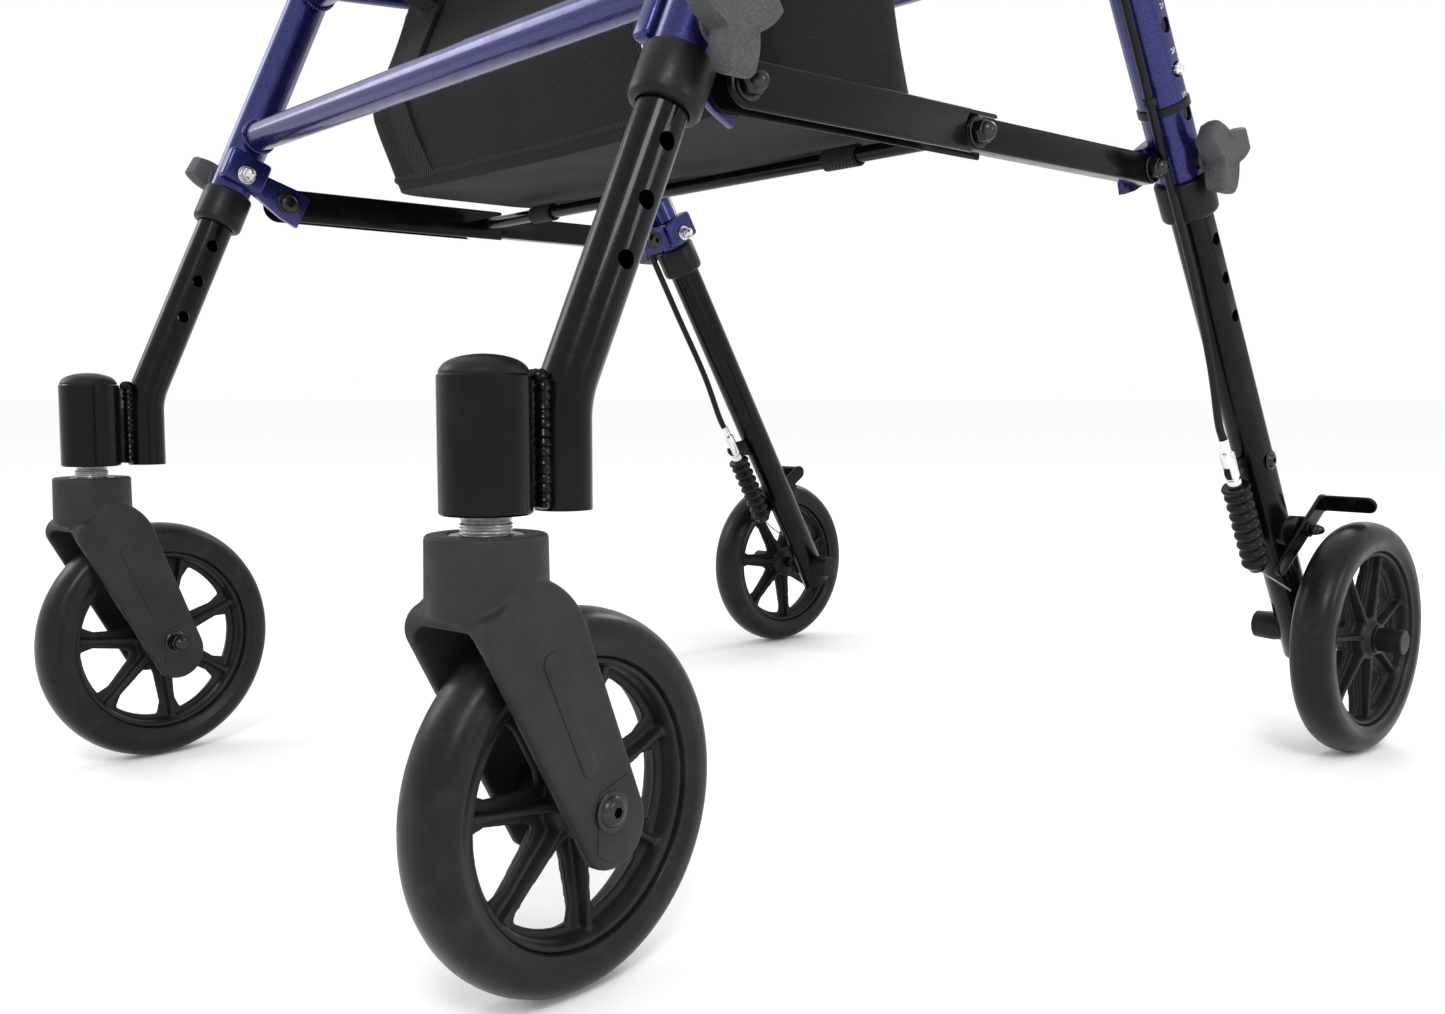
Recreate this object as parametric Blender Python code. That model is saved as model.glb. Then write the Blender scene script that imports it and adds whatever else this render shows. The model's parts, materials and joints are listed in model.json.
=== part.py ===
"""Four-wheeled walking frame (rollator) with height-adjustable legs and a front-to-back fold.

Frame: front faces -Y, +X is the user's left side, +Z up, floor at z = 0.  Metres.
Everything on the +X side is built first and mirrored to the -X side, apart from the casters,
which both trail the same way.
"""
import bmesh
import bpy
from math import atan2, cos, pi, radians, sin, tan
from mathutils import Matrix, Vector

# ---------------------------------------------------------------- driving dimensions
GAP = 0.0003
WHEEL_R = 0.0763
TYRE_W = 0.027
TYRE_DEPTH = 0.019
RIM_W = 0.020
HUB_R = 0.0150
SPOKES = 7

TRACK_X = 0.236
INNER_R = 0.0111
OUTER_R = 0.0127
OUTER_BORE = INNER_R + 0.0004
HOLE_R = 0.0038
HOLE_PITCH = 0.0254

SWIVEL_Y = -0.3310
SWIVEL_TURN = radians(9)
TRAIL = 0.0385
HOUSING_R = 0.0172
HOUSING_Z = (0.191, 0.242)
LEG_BEND = (-0.2970, 0.2340)
FRONT_LEAN = radians(23.4)
FRONT_COLLAR_Z = 0.3660
FRONT_TOP_Z = 0.800
LOWER_BAR_Z = 0.4060
UPPER_BAR_Z = 0.5080
LOWER_BAR_R = 0.0095
FRONT_KNOB_Z = 0.3790

REAR_AXLE = (0.3065, 0.0763)
REAR_WHEEL_X = 0.2771
REAR_LEAN = radians(30.0)
REAR_COLLAR_Z = 0.3600
REAR_KNOB_Z = 0.3715
BUTTON_Z = 0.4170
REAR_OUTER_R = 0.0138
REAR_INNER_R = 0.0122
REAR_BORE = REAR_INNER_R + 0.0004
FOLD_AXIS = (0.0460, 0.5280)

LINK_X = 0.2315
P1 = (-0.2046, 0.3635)
P2 = (-0.0500, 0.3635)
P3 = (0.1085, 0.3635)
LINK_H = 0.0165
CHANNEL_H = 0.0210
CHANNEL_W = 0.0150
CHANNEL_T = 0.0018

HANDLE_R = 0.0109
HANDLE_KNOB_Z = 0.7420
GRIP_Z = 0.905
HANDLE_ENTRY_Z = 0.690
SEAT_Z = 0.5420
SEAT_HALF_WIDTH = 0.195
BACK_Z = 0.775
COLLAR_BELOW = 0.0210
COLLAR_ABOVE = 0.0030
COLLAR_WALL = 0.0027
FORK_INNER = TYRE_W / 2 + 0.0050
FORK_OUTER = FORK_INNER + 0.0060
ARM_END = (TRAIL + 0.0030, WHEEL_R - 0.0068)
ARM_END_R = 0.0175
STOP_Z = 0.1880
ARM_PIVOT = (0.2860, 0.1470)
ARM_X = TRACK_X + REAR_INNER_R + 0.0024
CABLE_R = 0.0025
CENTRE_SHIFT = -0.0066
SIDES = (("left", 1.0), ("right", -1.0))


# ---------------------------------------------------------------- materials
def material(name, colour, roughness, metallic=0.0):
    """One Principled material per finish."""
    mat = bpy.data.materials.get(name)
    if mat:
        return mat
    mat = bpy.data.materials.new(name)
    mat.use_nodes = True
    shader = mat.node_tree.nodes["Principled BSDF"]
    shader.inputs["Base Color"].default_value = (*colour, 1.0)
    shader.inputs["Roughness"].default_value = roughness
    shader.inputs["Metallic"].default_value = metallic
    return mat


FINISHES = {
    "blue_paint": ((0.03, 0.04, 0.30), 0.25, 0.6),
    "black_paint": ((0.012, 0.012, 0.012), 0.22, 0.0),
    "black_plastic": ((0.02, 0.02, 0.021), 0.5, 0.0),
    "grey_plastic": ((0.055, 0.058, 0.06), 0.55, 0.0),
    "tyre": ((0.03, 0.031, 0.033), 0.42, 0.0),
    "bright_steel": ((0.7, 0.7, 0.7), 0.25, 1.0),
    "rubber": ((0.015, 0.015, 0.015), 0.35, 0.0),
    "nylon": ((0.012, 0.012, 0.013), 0.8, 0.0),
    "vinyl": ((0.02, 0.02, 0.02), 0.5, 0.0),
}


# ---------------------------------------------------------------- building helpers
def clear_scene():
    for obj in list(bpy.data.objects):
        bpy.data.objects.remove(obj, do_unlink=True)


def make_object(name, mesh_data, finish):
    """Wrap a bmesh in a named, shaded object; its faces are turned outwards."""
    bmesh.ops.recalc_face_normals(mesh_data, faces=mesh_data.faces)
    mesh = bpy.data.meshes.new(name)
    mesh_data.to_mesh(mesh)
    mesh_data.free()
    obj = bpy.data.objects.new(name, mesh)
    bpy.context.collection.objects.link(obj)
    finish_mesh(obj, finish)
    return obj


def finish_mesh(obj, finish):
    obj.data.materials.clear()
    obj.data.materials.append(material(finish, *FINISHES[finish]))
    obj.data.shade_smooth()
    obj.data.set_sharp_from_angle(angle=radians(38))


def set_origin(obj, point):
    """Move the object's origin to a world point without moving its surface."""
    obj.data.transform(Matrix.Translation(-Vector(point)))
    obj.location = point


def boolean(target, tools, operation):
    """Join or cut with the exact solver, then drop the tool objects."""
    finish = target.data.materials[0].name
    for tool in tools:
        mod = target.modifiers.new(operation, 'BOOLEAN')
        mod.operation = operation
        mod.object = tool
        mod.solver = 'EXACT'
    bpy.context.view_layer.update()
    graph = bpy.context.evaluated_depsgraph_get()
    mesh = bpy.data.meshes.new_from_object(target.evaluated_get(graph))
    target.modifiers.clear()
    target.data = mesh
    for tool in tools:
        bpy.data.objects.remove(tool, do_unlink=True)
    finish_mesh(target, finish)
    return target


def unite(target, *tools):
    return boolean(target, tools, 'UNION')


def cut(target, *tools):
    return boolean(target, tools, 'DIFFERENCE')


def mirrored(obj, name, finish):
    """A copy of a +X piece reflected to the -X side, with its origin reflected too."""
    mesh = obj.data.copy()
    mesh.transform(Matrix.Diagonal((-1.0, 1.0, 1.0, 1.0)))
    mesh.flip_normals()
    copy = bpy.data.objects.new(name, mesh)
    copy.location = (-obj.location.x, obj.location.y, obj.location.z)
    bpy.context.collection.objects.link(copy)
    finish_mesh(copy, finish)
    return copy


def rounded_path(points, radius, steps=5):
    """Points of a polyline whose corners are replaced by arcs."""
    pts = [Vector(p) for p in points]
    path = [pts[0]]
    for before, corner, after in zip(pts, pts[1:], pts[2:]):
        a = (before - corner).normalized()
        b = (after - corner).normalized()
        half = a.angle(b) / 2
        reach = min(radius / tan(half), (before - corner).length * 0.49,
                    (after - corner).length * 0.49)
        rad = reach * tan(half)
        centre = corner + (a + b).normalized() * (rad / sin(half))
        start = corner + a * reach - centre
        end = corner + b * reach - centre
        for i in range(steps + 1):
            path.append(centre + start.slerp(end, i / steps) * rad)
    path.append(pts[-1])
    return path


def ring_frames(path):
    """A centre, a tangent and two side vectors at each point of a path, without twist."""
    frames = []
    side = None
    for i, point in enumerate(path):
        ahead = path[min(i + 1, len(path) - 1)]
        behind = path[max(i - 1, 0)]
        tangent = (ahead - behind).normalized()
        if side is None:
            helper = Vector((1, 0, 0)) if abs(tangent.x) < 0.9 else Vector((0, 0, 1))
            side = tangent.cross(helper).normalized()
        side = (side - tangent * side.dot(tangent)).normalized()
        frames.append((point, side, tangent.cross(side)))
    return frames


def add_rings(mesh_data, frames, radius, sides):
    rings = []
    for point, side, other in frames:
        ring = []
        for k in range(sides):
            angle = 2 * pi * k / sides
            ring.append(mesh_data.verts.new(point + radius * (cos(angle) * side + sin(angle) * other)))
        rings.append(ring)
    return rings


def bridge(mesh_data, ring_a, ring_b):
    count = len(ring_a)
    for k in range(count):
        nxt = (k + 1) % count
        mesh_data.faces.new((ring_a[k], ring_a[nxt], ring_b[nxt], ring_b[k]))


def tube(name, points, outer, finish, bore=0.0, bend=0.03, sides=16, steps=5):
    """A round tube or rod along a path; with a bore it is open right through."""
    path = rounded_path(points, bend, steps)
    frames = ring_frames(path)
    mesh_data = bmesh.new()
    outside = add_rings(mesh_data, frames, outer, sides)
    for ring_a, ring_b in zip(outside, outside[1:]):
        bridge(mesh_data, ring_a, ring_b)
    if bore > 0:
        inside = add_rings(mesh_data, frames, bore, sides)
        for ring_a, ring_b in zip(inside, inside[1:]):
            bridge(mesh_data, ring_b, ring_a)
        bridge(mesh_data, outside[0], inside[0])
        bridge(mesh_data, outside[-1], inside[-1])
    else:
        mesh_data.faces.new(outside[0])
        mesh_data.faces.new(outside[-1])
    return make_object(name, mesh_data, finish)


def turned(name, profile, centre, axis, finish, sides=24):
    """A solid turned about an axis; profile pairs are (distance along the axis, radius)."""
    direction = Vector(axis).normalized()
    helper = Vector((0, 0, 1)) if abs(direction.z) < 0.9 else Vector((1, 0, 0))
    side = direction.cross(helper).normalized()
    other = direction.cross(side)
    mesh_data = bmesh.new()
    rings = []
    for along, radius in profile:
        point = Vector(centre) + direction * along
        rings.append(add_rings(mesh_data, [(point, side, other)], radius, sides)[0])
    for ring_a, ring_b in zip(rings, rings[1:]):
        bridge(mesh_data, ring_a, ring_b)
    mesh_data.faces.new(rings[0])
    mesh_data.faces.new(rings[-1])
    return make_object(name, mesh_data, finish)


def turned_ring(name, profile, centre, axis, finish, sides=40):
    """A closed ring turned about an axis; the profile is a closed loop."""
    direction = Vector(axis).normalized()
    helper = Vector((0, 0, 1)) if abs(direction.z) < 0.9 else Vector((1, 0, 0))
    side = direction.cross(helper).normalized()
    other = direction.cross(side)
    mesh_data = bmesh.new()
    rings = []
    for along, radius in profile:
        point = Vector(centre) + direction * along
        rings.append(add_rings(mesh_data, [(point, side, other)], radius, sides)[0])
    for ring_a, ring_b in zip(rings, rings[1:] + rings[:1]):
        bridge(mesh_data, ring_a, ring_b)
    return make_object(name, mesh_data, finish)


def slab(name, outline, x_low, x_high, finish):
    """A flat plate in the YZ plane, extruded from x_low to x_high."""
    mesh_data = bmesh.new()
    low = [mesh_data.verts.new((x_low, y, z)) for y, z in outline]
    high = [mesh_data.verts.new((x_high, y, z)) for y, z in outline]
    mesh_data.faces.new(low)
    mesh_data.faces.new(high)
    bridge(mesh_data, low, high)
    return make_object(name, mesh_data, finish)


def box(name, low, high, finish):
    mesh_data = bmesh.new()
    bmesh.ops.create_cube(mesh_data, size=1.0)
    size = Vector(high) - Vector(low)
    middle = (Vector(high) + Vector(low)) / 2
    for vert in mesh_data.verts:
        vert.co = Vector([vert.co[i] * size[i] for i in range(3)]) + middle
    return make_object(name, mesh_data, finish)


def arc(centre, radius, start, end, steps):
    """Points of an arc; angles in degrees."""
    points = []
    for i in range(steps + 1):
        angle = radians(start + (end - start) * i / steps)
        points.append((centre[0] + radius * cos(angle), centre[1] + radius * sin(angle)))
    return points


def tapered_bar(end_a, radius_a, end_b, radius_b, steps=7):
    """Outline of a bar with two round ends of different radius."""
    dy = end_b[0] - end_a[0]
    dz = end_b[1] - end_a[1]
    heading = atan2(dz, dy) * 180 / pi
    outline = arc(end_b, radius_b, heading - 90, heading + 90, steps)
    outline += arc(end_a, radius_a, heading + 90, heading + 270, steps)
    return outline


def strip(end_a, end_b, root, half_width, beyond):
    """Outline of a straight strip from end_a, square-ended a little beyond end_b."""
    a = Vector((end_a[0], end_a[1]))
    b = Vector((end_b[0], end_b[1]))
    along = (b - a).normalized()
    side = Vector((-along.y, along.x))
    tip = b + along * beyond
    corners = (a - side * root, b - side * half_width, tip - side * half_width,
               tip + side * half_width, b + side * half_width, a + side * root)
    return [(c.x, c.y) for c in corners]


# ---------------------------------------------------------------- leg lines
def front_y(z):
    return LEG_BEND[0] + tan(FRONT_LEAN) * (z - LEG_BEND[1])


def rear_y(z):
    return REAR_AXLE[0] - tan(REAR_LEAN) * (z - REAR_AXLE[1])


FRONT_DIR = Vector((0, sin(FRONT_LEAN), cos(FRONT_LEAN)))
REAR_DIR = Vector((0, -sin(REAR_LEAN), cos(REAR_LEAN)))


def on_front(z, along=0.0, x=TRACK_X):
    return Vector((x, front_y(z), z)) + FRONT_DIR * along


def on_rear(z, along=0.0, x=TRACK_X):
    return Vector((x, rear_y(z), z)) + REAR_DIR * along


# ---------------------------------------------------------------- shared small shapes
def star_knob(name, centre, normal_x, outer_r, finish="grey_plastic"):
    """Three-lobed clamping knob whose stud runs along X through the leg."""
    mesh_data = bmesh.new()
    lobes = 3
    steps = 27
    inner_x = centre[0] + normal_x * (outer_r + 0.0048)
    layers = ((0.0, 0.0105), (0.0030, 0.0190), (0.0130, 0.0232), (0.0160, 0.0200))
    rings = []
    for depth, size in layers:
        ring = []
        for k in range(steps):
            angle = 2 * pi * k / steps
            lobe = 0.5 + 0.5 * cos(lobes * (angle - pi / 2))
            radius = size * (0.56 + 0.44 * lobe ** 0.8) if depth > 0 else size
            ring.append(mesh_data.verts.new((inner_x + normal_x * depth,
                                             centre[1] + radius * cos(angle),
                                             centre[2] + radius * sin(angle))))
        rings.append(ring)
    for ring_a, ring_b in zip(rings, rings[1:]):
        bridge(mesh_data, ring_a, ring_b)
    mesh_data.faces.new(rings[0])
    mesh_data.faces.new(rings[-1])
    knob = make_object(name, mesh_data, finish)
    set_origin(knob, centre)
    return knob


def leg_collar(name, mouth, direction, outer_r, bore):
    """Plastic sleeve on the mouth of an outer tube, with a clear bore for the inner tube."""
    base = mouth - direction * COLLAR_BELOW
    height = COLLAR_BELOW + COLLAR_ABOVE
    step = COLLAR_BELOW - GAP
    profile = ((0.0, bore), (0.0, outer_r + COLLAR_WALL - 0.0015), (0.0020, outer_r + COLLAR_WALL),
               (height, outer_r + COLLAR_WALL), (height, outer_r + GAP), (step, outer_r + GAP),
               (step, bore))
    return turned_ring(name, profile, base, direction, "black_plastic", sides=16)


def cross_hole(x_low, x_high, centre, radius, sides=8):
    return turned("cutter", ((0.0, radius), (x_high - x_low, radius)),
                  (x_low, centre[1], centre[2]), (1, 0, 0), "black_plastic", sides)


# ---------------------------------------------------------------- front frame
def front_leg_outer():
    """Blue front tube from its collar to the handle, with the knob block and link ear."""
    base = on_front(FRONT_COLLAR_Z)
    top = on_front(FRONT_TOP_Z)
    leg = tube("front_leg_tube_left", (base, top), OUTER_R, "blue_paint", sides=16)
    knob = on_front(FRONT_KNOB_Z)
    ear_x = (LINK_X - CHANNEL_W / 2 - GAP - 0.0040, LINK_X - CHANNEL_W / 2 - GAP)
    block = box("block", (-0.0075, -0.0150, -0.0080), (0.0040, 0.0150, 0.0150), "blue_paint")
    block.data.transform(Matrix.Translation((TRACK_X - OUTER_R, knob.y, knob.z)) @
                         Matrix.Rotation(-FRONT_LEAN, 4, 'X'))
    ear = slab("ear", strip((knob.y, knob.z), P1, 0.0060, 0.0115, 0.0120), ear_x[0], ear_x[1],
               "blue_paint")
    unite(leg, block, ear)
    bore = tube("bore", (base - FRONT_DIR * 0.01, top + FRONT_DIR * 0.01), OUTER_BORE, "black_paint",
                sides=16)
    cut(leg, bore, cross_hole(TRACK_X - 0.03, TRACK_X + 0.03, knob, HOLE_R))
    for step in range(5):
        centre = on_front(HANDLE_KNOB_Z) + FRONT_DIR * (step - 2) * HOLE_PITCH * 0.8
        cut(leg, cross_hole(TRACK_X, TRACK_X + 0.03, centre, HOLE_R * 0.9))
    return leg


def fold_pivot(sign):
    """Pivot stub from the seat rail through the rear tube, with a domed outer head."""
    start = TRACK_X - 0.0290
    face = TRACK_X - REAR_OUTER_R - GAP - start
    back = TRACK_X + REAR_OUTER_R + GAP - start
    profile = ((0.0, 0.0070), (face, 0.0070), (face, 0.0040), (back, 0.0040), (back, 0.0075),
               (back + 0.0030, 0.0070), (back + 0.0048, 0.0035))
    return turned("pivot", profile, (sign * start, *FOLD_AXIS), (sign, 0, 0), "blue_paint", sides=16)


def seat_frame():
    """Upper front bar and the two seat rails that carry the fold pivots, welded together."""
    y_bar = front_y(UPPER_BAR_Z)
    inset = TRACK_X - OUTER_R - GAP
    bar = tube("seat_frame", ((-inset, y_bar, UPPER_BAR_Z), (inset, y_bar, UPPER_BAR_Z)), 0.0105,
               "blue_paint", sides=16)
    rail_x = TRACK_X - 0.0290
    for sign in (1.0, -1.0):
        rail = tube("rail", ((sign * rail_x, y_bar, UPPER_BAR_Z),
                             (sign * rail_x, FOLD_AXIS[0] + 0.030, FOLD_AXIS[1])), 0.0085,
                    "blue_paint", sides=10)
        unite(bar, rail, fold_pivot(sign))
    return bar


def lower_cross_tube():
    inset = TRACK_X - OUTER_R - 0.0006
    y_bar = front_y(LOWER_BAR_Z)
    return tube("lower_cross_tube", ((-inset, y_bar, LOWER_BAR_Z), (inset, y_bar, LOWER_BAR_Z)),
                LOWER_BAR_R, "blue_paint", sides=16)


# ---------------------------------------------------------------- caster leg and caster
def caster_leg():
    """Black inner tube, bent upright at its foot, and welded by a web to the caster housing."""
    foot = (TRACK_X, LEG_BEND[0], HOUSING_Z[0])
    bend = (TRACK_X, LEG_BEND[0], LEG_BEND[1])
    top = on_front(FRONT_COLLAR_Z, 0.112)
    leg = tube("caster_leg_left", (foot, bend, top), INNER_R, "black_paint", bend=0.045, sides=16)
    housing = turned("housing", ((0.0, HOUSING_R), (HOUSING_Z[1] - HOUSING_Z[0], HOUSING_R),
                                 (0.0540, 0.0150), (0.0575, 0.0100), (0.0590, 0.0035)),
                     (TRACK_X, SWIVEL_Y, HOUSING_Z[0]), (0, 0, 1), "black_paint", sides=24)
    web = slab("web", ((SWIVEL_Y + 0.008, 0.1925), (LEG_BEND[0] - 0.004, 0.1925),
                       (LEG_BEND[0] - 0.004, 0.2400), (SWIVEL_Y + 0.008, 0.2400)),
               TRACK_X - 0.0035, TRACK_X + 0.0035, "black_paint")
    unite(leg, housing, web)
    for step in range(-2, 3):
        centre = on_front(FRONT_KNOB_Z) - FRONT_DIR * step * HOLE_PITCH
        if abs(step) > 0:
            cut(leg, cross_hole(TRACK_X - 0.03, TRACK_X + 0.03, centre, HOLE_R))
    stud_hole = on_front(FRONT_KNOB_Z)
    cut(leg, cross_hole(TRACK_X - 0.03, TRACK_X + 0.03, stud_hole, HOLE_R))
    return leg


def at_caster(obj, side, name):
    """Hang a piece, built about a swivel axis at the origin, on the caster's empty."""
    obj.name = name
    obj.parent = bpy.data.objects["swivel_" + side]
    return obj


def caster_fork(name):
    """One-piece moulded fork: collar, arch and two trailing arms."""
    inner = FORK_INNER
    outer = FORK_OUTER
    collar = turned(name, ((0.0, 0.0232), (0.0280, 0.0228), (0.0300, 0.0214)), (0, 0, 0.1540),
                    (0, 0, 1), "grey_plastic", sides=20)
    axle = (TRAIL, WHEEL_R)
    side_outline = arc(ARM_END, ARM_END_R, -130, 18, 8)
    side_outline += arc((-0.0030, 0.1360), 0.0345, 12, 84, 6)
    side_outline += arc((-0.0110, 0.1490), 0.0095, 105, 205, 4)
    arms = slab("arms", side_outline, -outer, outer, "grey_plastic")
    unite(collar, arms)
    cavity = slab("cavity", [(-0.060, 0.050), (0.080, 0.050), (0.080, 0.1465),
                             (0.030, 0.1560), (-0.010, 0.1520), (-0.060, 0.1400)],
                  -inner, inner, "grey_plastic")
    cut(collar, cavity)
    stem_bore = turned("stem_bore", ((0.0, 0.0104), (0.035, 0.0104)), (0, 0, 0.1580), (0, 0, 1),
                       "grey_plastic", sides=16)
    axle_bore = cross_hole(-0.04, 0.04, (0, axle[0], axle[1]), 0.0044)
    cut(collar, stem_bore, axle_bore)
    return collar


def caster_stem(name):
    """Plated swivel stem between the fork collar and the housing."""
    return turned(name, ((0.0, 0.0100), (0.0270, 0.0100), (0.0325, 0.0100)), (0, 0, 0.1583),
                  (0, 0, 1), "bright_steel", sides=16)


def caster_axle(name, y, z):
    """Through bolt with a domed head on one side and a capped nut on the other."""
    reach = FORK_OUTER + GAP
    profile = ((-reach - 0.0050, 0.0030), (-reach - 0.0035, 0.0070), (-reach, 0.0078),
               (-reach, 0.0040), (reach, 0.0040), (reach, 0.0066), (reach + 0.0026, 0.0060),
               (reach + 0.0040, 0.0030))
    return turned(name, profile, (0, y, z), (1, 0, 0), "black_plastic", sides=16)


# ---------------------------------------------------------------- wheels
def tyre(name, centre):
    half = TYRE_W / 2
    inner = WHEEL_R - TYRE_DEPTH
    profile = ((-half * 0.85, inner), (-half, WHEEL_R - 0.0110), (-half * 0.62, WHEEL_R),
               (half * 0.62, WHEEL_R), (half, WHEEL_R - 0.0110), (half * 0.85, inner))
    return turned_ring(name, profile, centre, (1, 0, 0), "tyre", sides=32)


def rim(name, centre, hub_half):
    """Moulded wheel centre: outer band, hub and tapering T-section spokes."""
    band = WHEEL_R - TYRE_DEPTH - GAP
    cx, cy, cz = centre
    half = RIM_W / 2
    wheel = turned_ring(name, ((-half, band - 0.0035), (-half, band), (half, band),
                               (half, band - 0.0035)), centre, (1, 0, 0), "black_plastic", sides=28)
    hub = turned_ring("hub", ((-hub_half, 0.0045), (-hub_half, HUB_R - 0.003),
                              (-half * 0.9, HUB_R), (half * 0.9, HUB_R),
                              (hub_half, HUB_R - 0.003), (hub_half, 0.0045)),
                      centre, (1, 0, 0), "black_plastic", sides=14)
    spokes = []
    for k in range(SPOKES):
        angle = 2 * pi * k / SPOKES + 0.35
        radial = Vector((0, cos(angle), sin(angle)))
        across = Vector((0, -sin(angle), cos(angle)))
        mesh_data = bmesh.new()
        corners = []
        for reach, depth, thick in ((0.0100, half * 0.95, 0.0026), (band - 0.002, half * 0.55, 0.0017)):
            for sx, sa in ((-1, -1), (1, -1), (1, 1), (-1, 1)):
                point = Vector(centre) + radial * reach + across * thick * sa + Vector((depth * sx, 0, 0))
                corners.append(mesh_data.verts.new(point))
        mesh_data.faces.new(corners[:4])
        mesh_data.faces.new(corners[4:])
        bridge(mesh_data, corners[:4], corners[4:])
        spokes.append(make_object("spoke", mesh_data, "black_plastic"))
    unite(wheel, hub, *spokes)
    bore = turned("bore", ((-0.05, 0.0046), (0.05, 0.0046)), (cx, cy, cz), (1, 0, 0), "tyre", 14)
    cut(wheel, bore)
    return wheel


# ---------------------------------------------------------------- rear frame
def rear_leg_outer():
    """Blue rear tube from the fold pivot down to its collar, with knob block and link ear."""
    base = on_rear(REAR_COLLAR_Z)
    top = on_rear(FOLD_AXIS[1], 0.016)
    leg = tube("rear_leg_tube_left", (base, top), REAR_OUTER_R, "blue_paint", sides=16)
    knob = on_rear(REAR_KNOB_Z)
    block = box("block", (-0.0075, -0.0155, -0.0075), (0.0045, 0.0155, 0.0150), "blue_paint")
    block.data.transform(Matrix.Translation((TRACK_X - REAR_OUTER_R, knob.y, knob.z)) @
                         Matrix.Rotation(REAR_LEAN, 4, 'X'))
    ear_x = (LINK_X - CHANNEL_W / 2 - 0.0040, LINK_X - CHANNEL_W / 2)
    ear = slab("ear", strip((knob.y, knob.z), P3, 0.0060, 0.0110, 0.0115), ear_x[0], ear_x[1],
               "blue_paint")
    unite(leg, block, ear)
    bore = tube("bore", (base - REAR_DIR * 0.01, top - REAR_DIR * 0.004), REAR_BORE, "black_paint",
                sides=16)
    cut(leg, bore, cross_hole(TRACK_X - 0.04, TRACK_X + 0.04, knob, HOLE_R))
    for step in range(5):
        centre = on_rear(BUTTON_Z) + REAR_DIR * (step - 1) * HOLE_PITCH
        cut(leg, cross_hole(TRACK_X, TRACK_X + 0.03, centre, HOLE_R * 1.15))
    pivot = (TRACK_X, FOLD_AXIS[0], FOLD_AXIS[1])
    cut(leg, cross_hole(TRACK_X - 0.03, TRACK_X + 0.03, pivot, 0.0045))
    set_origin(leg, pivot)
    return leg


def rear_cross_tube():
    inset = TRACK_X - REAR_OUTER_R - 0.0006
    z_bar = 0.4900
    y_bar = rear_y(z_bar)
    bar = tube("rear_cross_tube", ((-inset, y_bar, z_bar), (inset, y_bar, z_bar)), 0.0100,
               "blue_paint", sides=16)
    set_origin(bar, (0, FOLD_AXIS[0], FOLD_AXIS[1]))
    return bar


def rear_leg_inner():
    """Black inner tube with the axle spigot, brake arm lug and the cable stop bracket."""
    foot = on_rear(REAR_AXLE[1], -0.018)
    top = on_rear(REAR_COLLAR_Z, 0.112)
    leg = tube("rear_leg_inner_left", (foot, top), REAR_INNER_R, "black_paint", sides=16)
    spigot = turned("spigot", ((-0.0270, 0.0085), (-0.0120, 0.0095), (0.0170, 0.0095)),
                    (TRACK_X, REAR_AXLE[0], REAR_AXLE[1]), (1, 0, 0), "black_paint", sides=16)
    lug = slab("lug", tapered_bar((rear_y(ARM_PIVOT[1]), ARM_PIVOT[1]), 0.0100, ARM_PIVOT, 0.0085),
               TRACK_X + 0.0040, ARM_X - 0.0022, "black_paint")
    stop_z = STOP_Z
    stop = slab("stop", tapered_bar((rear_y(stop_z), stop_z + 0.003), 0.0080,
                                    (rear_y(stop_z) - 0.0320, stop_z), 0.0062),
                TRACK_X - 0.0020, TRACK_X + 0.0020, "black_paint")
    ferrule = turned("ferrule", ((-0.0060, 0.0046), (0.0140, 0.0046), (0.0145, 0.0032),
                                 (0.0230, 0.0032)),
                     (TRACK_X, rear_y(stop_z) - 0.0320, stop_z), REAR_DIR, "bright_steel", sides=12)
    unite(leg, spigot, lug, stop, ferrule)
    for step in range(5):
        centre = on_rear(REAR_KNOB_Z) + REAR_DIR * (step - 4) * HOLE_PITCH
        cut(leg, cross_hole(TRACK_X + 0.002, TRACK_X + 0.03, centre, HOLE_R))
    button = on_rear(BUTTON_Z)
    cut(leg, cross_hole(TRACK_X - 0.0060, TRACK_X + 0.03, button, HOLE_R * 1.1))
    cut(leg, cross_hole(ARM_X - 0.02, ARM_X + 0.01, (0, *ARM_PIVOT), 0.0033))
    return leg


def snap_button():
    """Sprung dome that locks the rear leg height."""
    centre = on_rear(BUTTON_Z)
    reach = REAR_OUTER_R + 0.0048
    button = turned("snap_button_left", ((0.0, 0.0036), (reach - 0.0025, 0.0036),
                                         (reach - 0.0010, 0.0028), (reach, 0.0012)),
                    (TRACK_X - 0.0005, centre.y, centre.z), (1, 0, 0), "bright_steel", sides=14)
    set_origin(button, centre)
    return button


def rear_axle():
    """Black axle sleeve and outer cap carrying the rear wheel."""
    start = TRACK_X + 0.0170 + GAP
    centre_x = REAR_WHEEL_X
    hub_half = 0.0125
    profile = ((0.0, 0.0042), (centre_x + hub_half + 0.0020 - start, 0.0042),
               (centre_x + hub_half + 0.0020 - start, 0.0080),
               (centre_x + hub_half + 0.0160 - start, 0.0080),
               (centre_x + hub_half + 0.0175 - start, 0.0068))
    return turned("rear_axle_left", profile, (start, REAR_AXLE[0], REAR_AXLE[1]), (1, 0, 0),
                  "black_plastic", sides=16)


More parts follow.
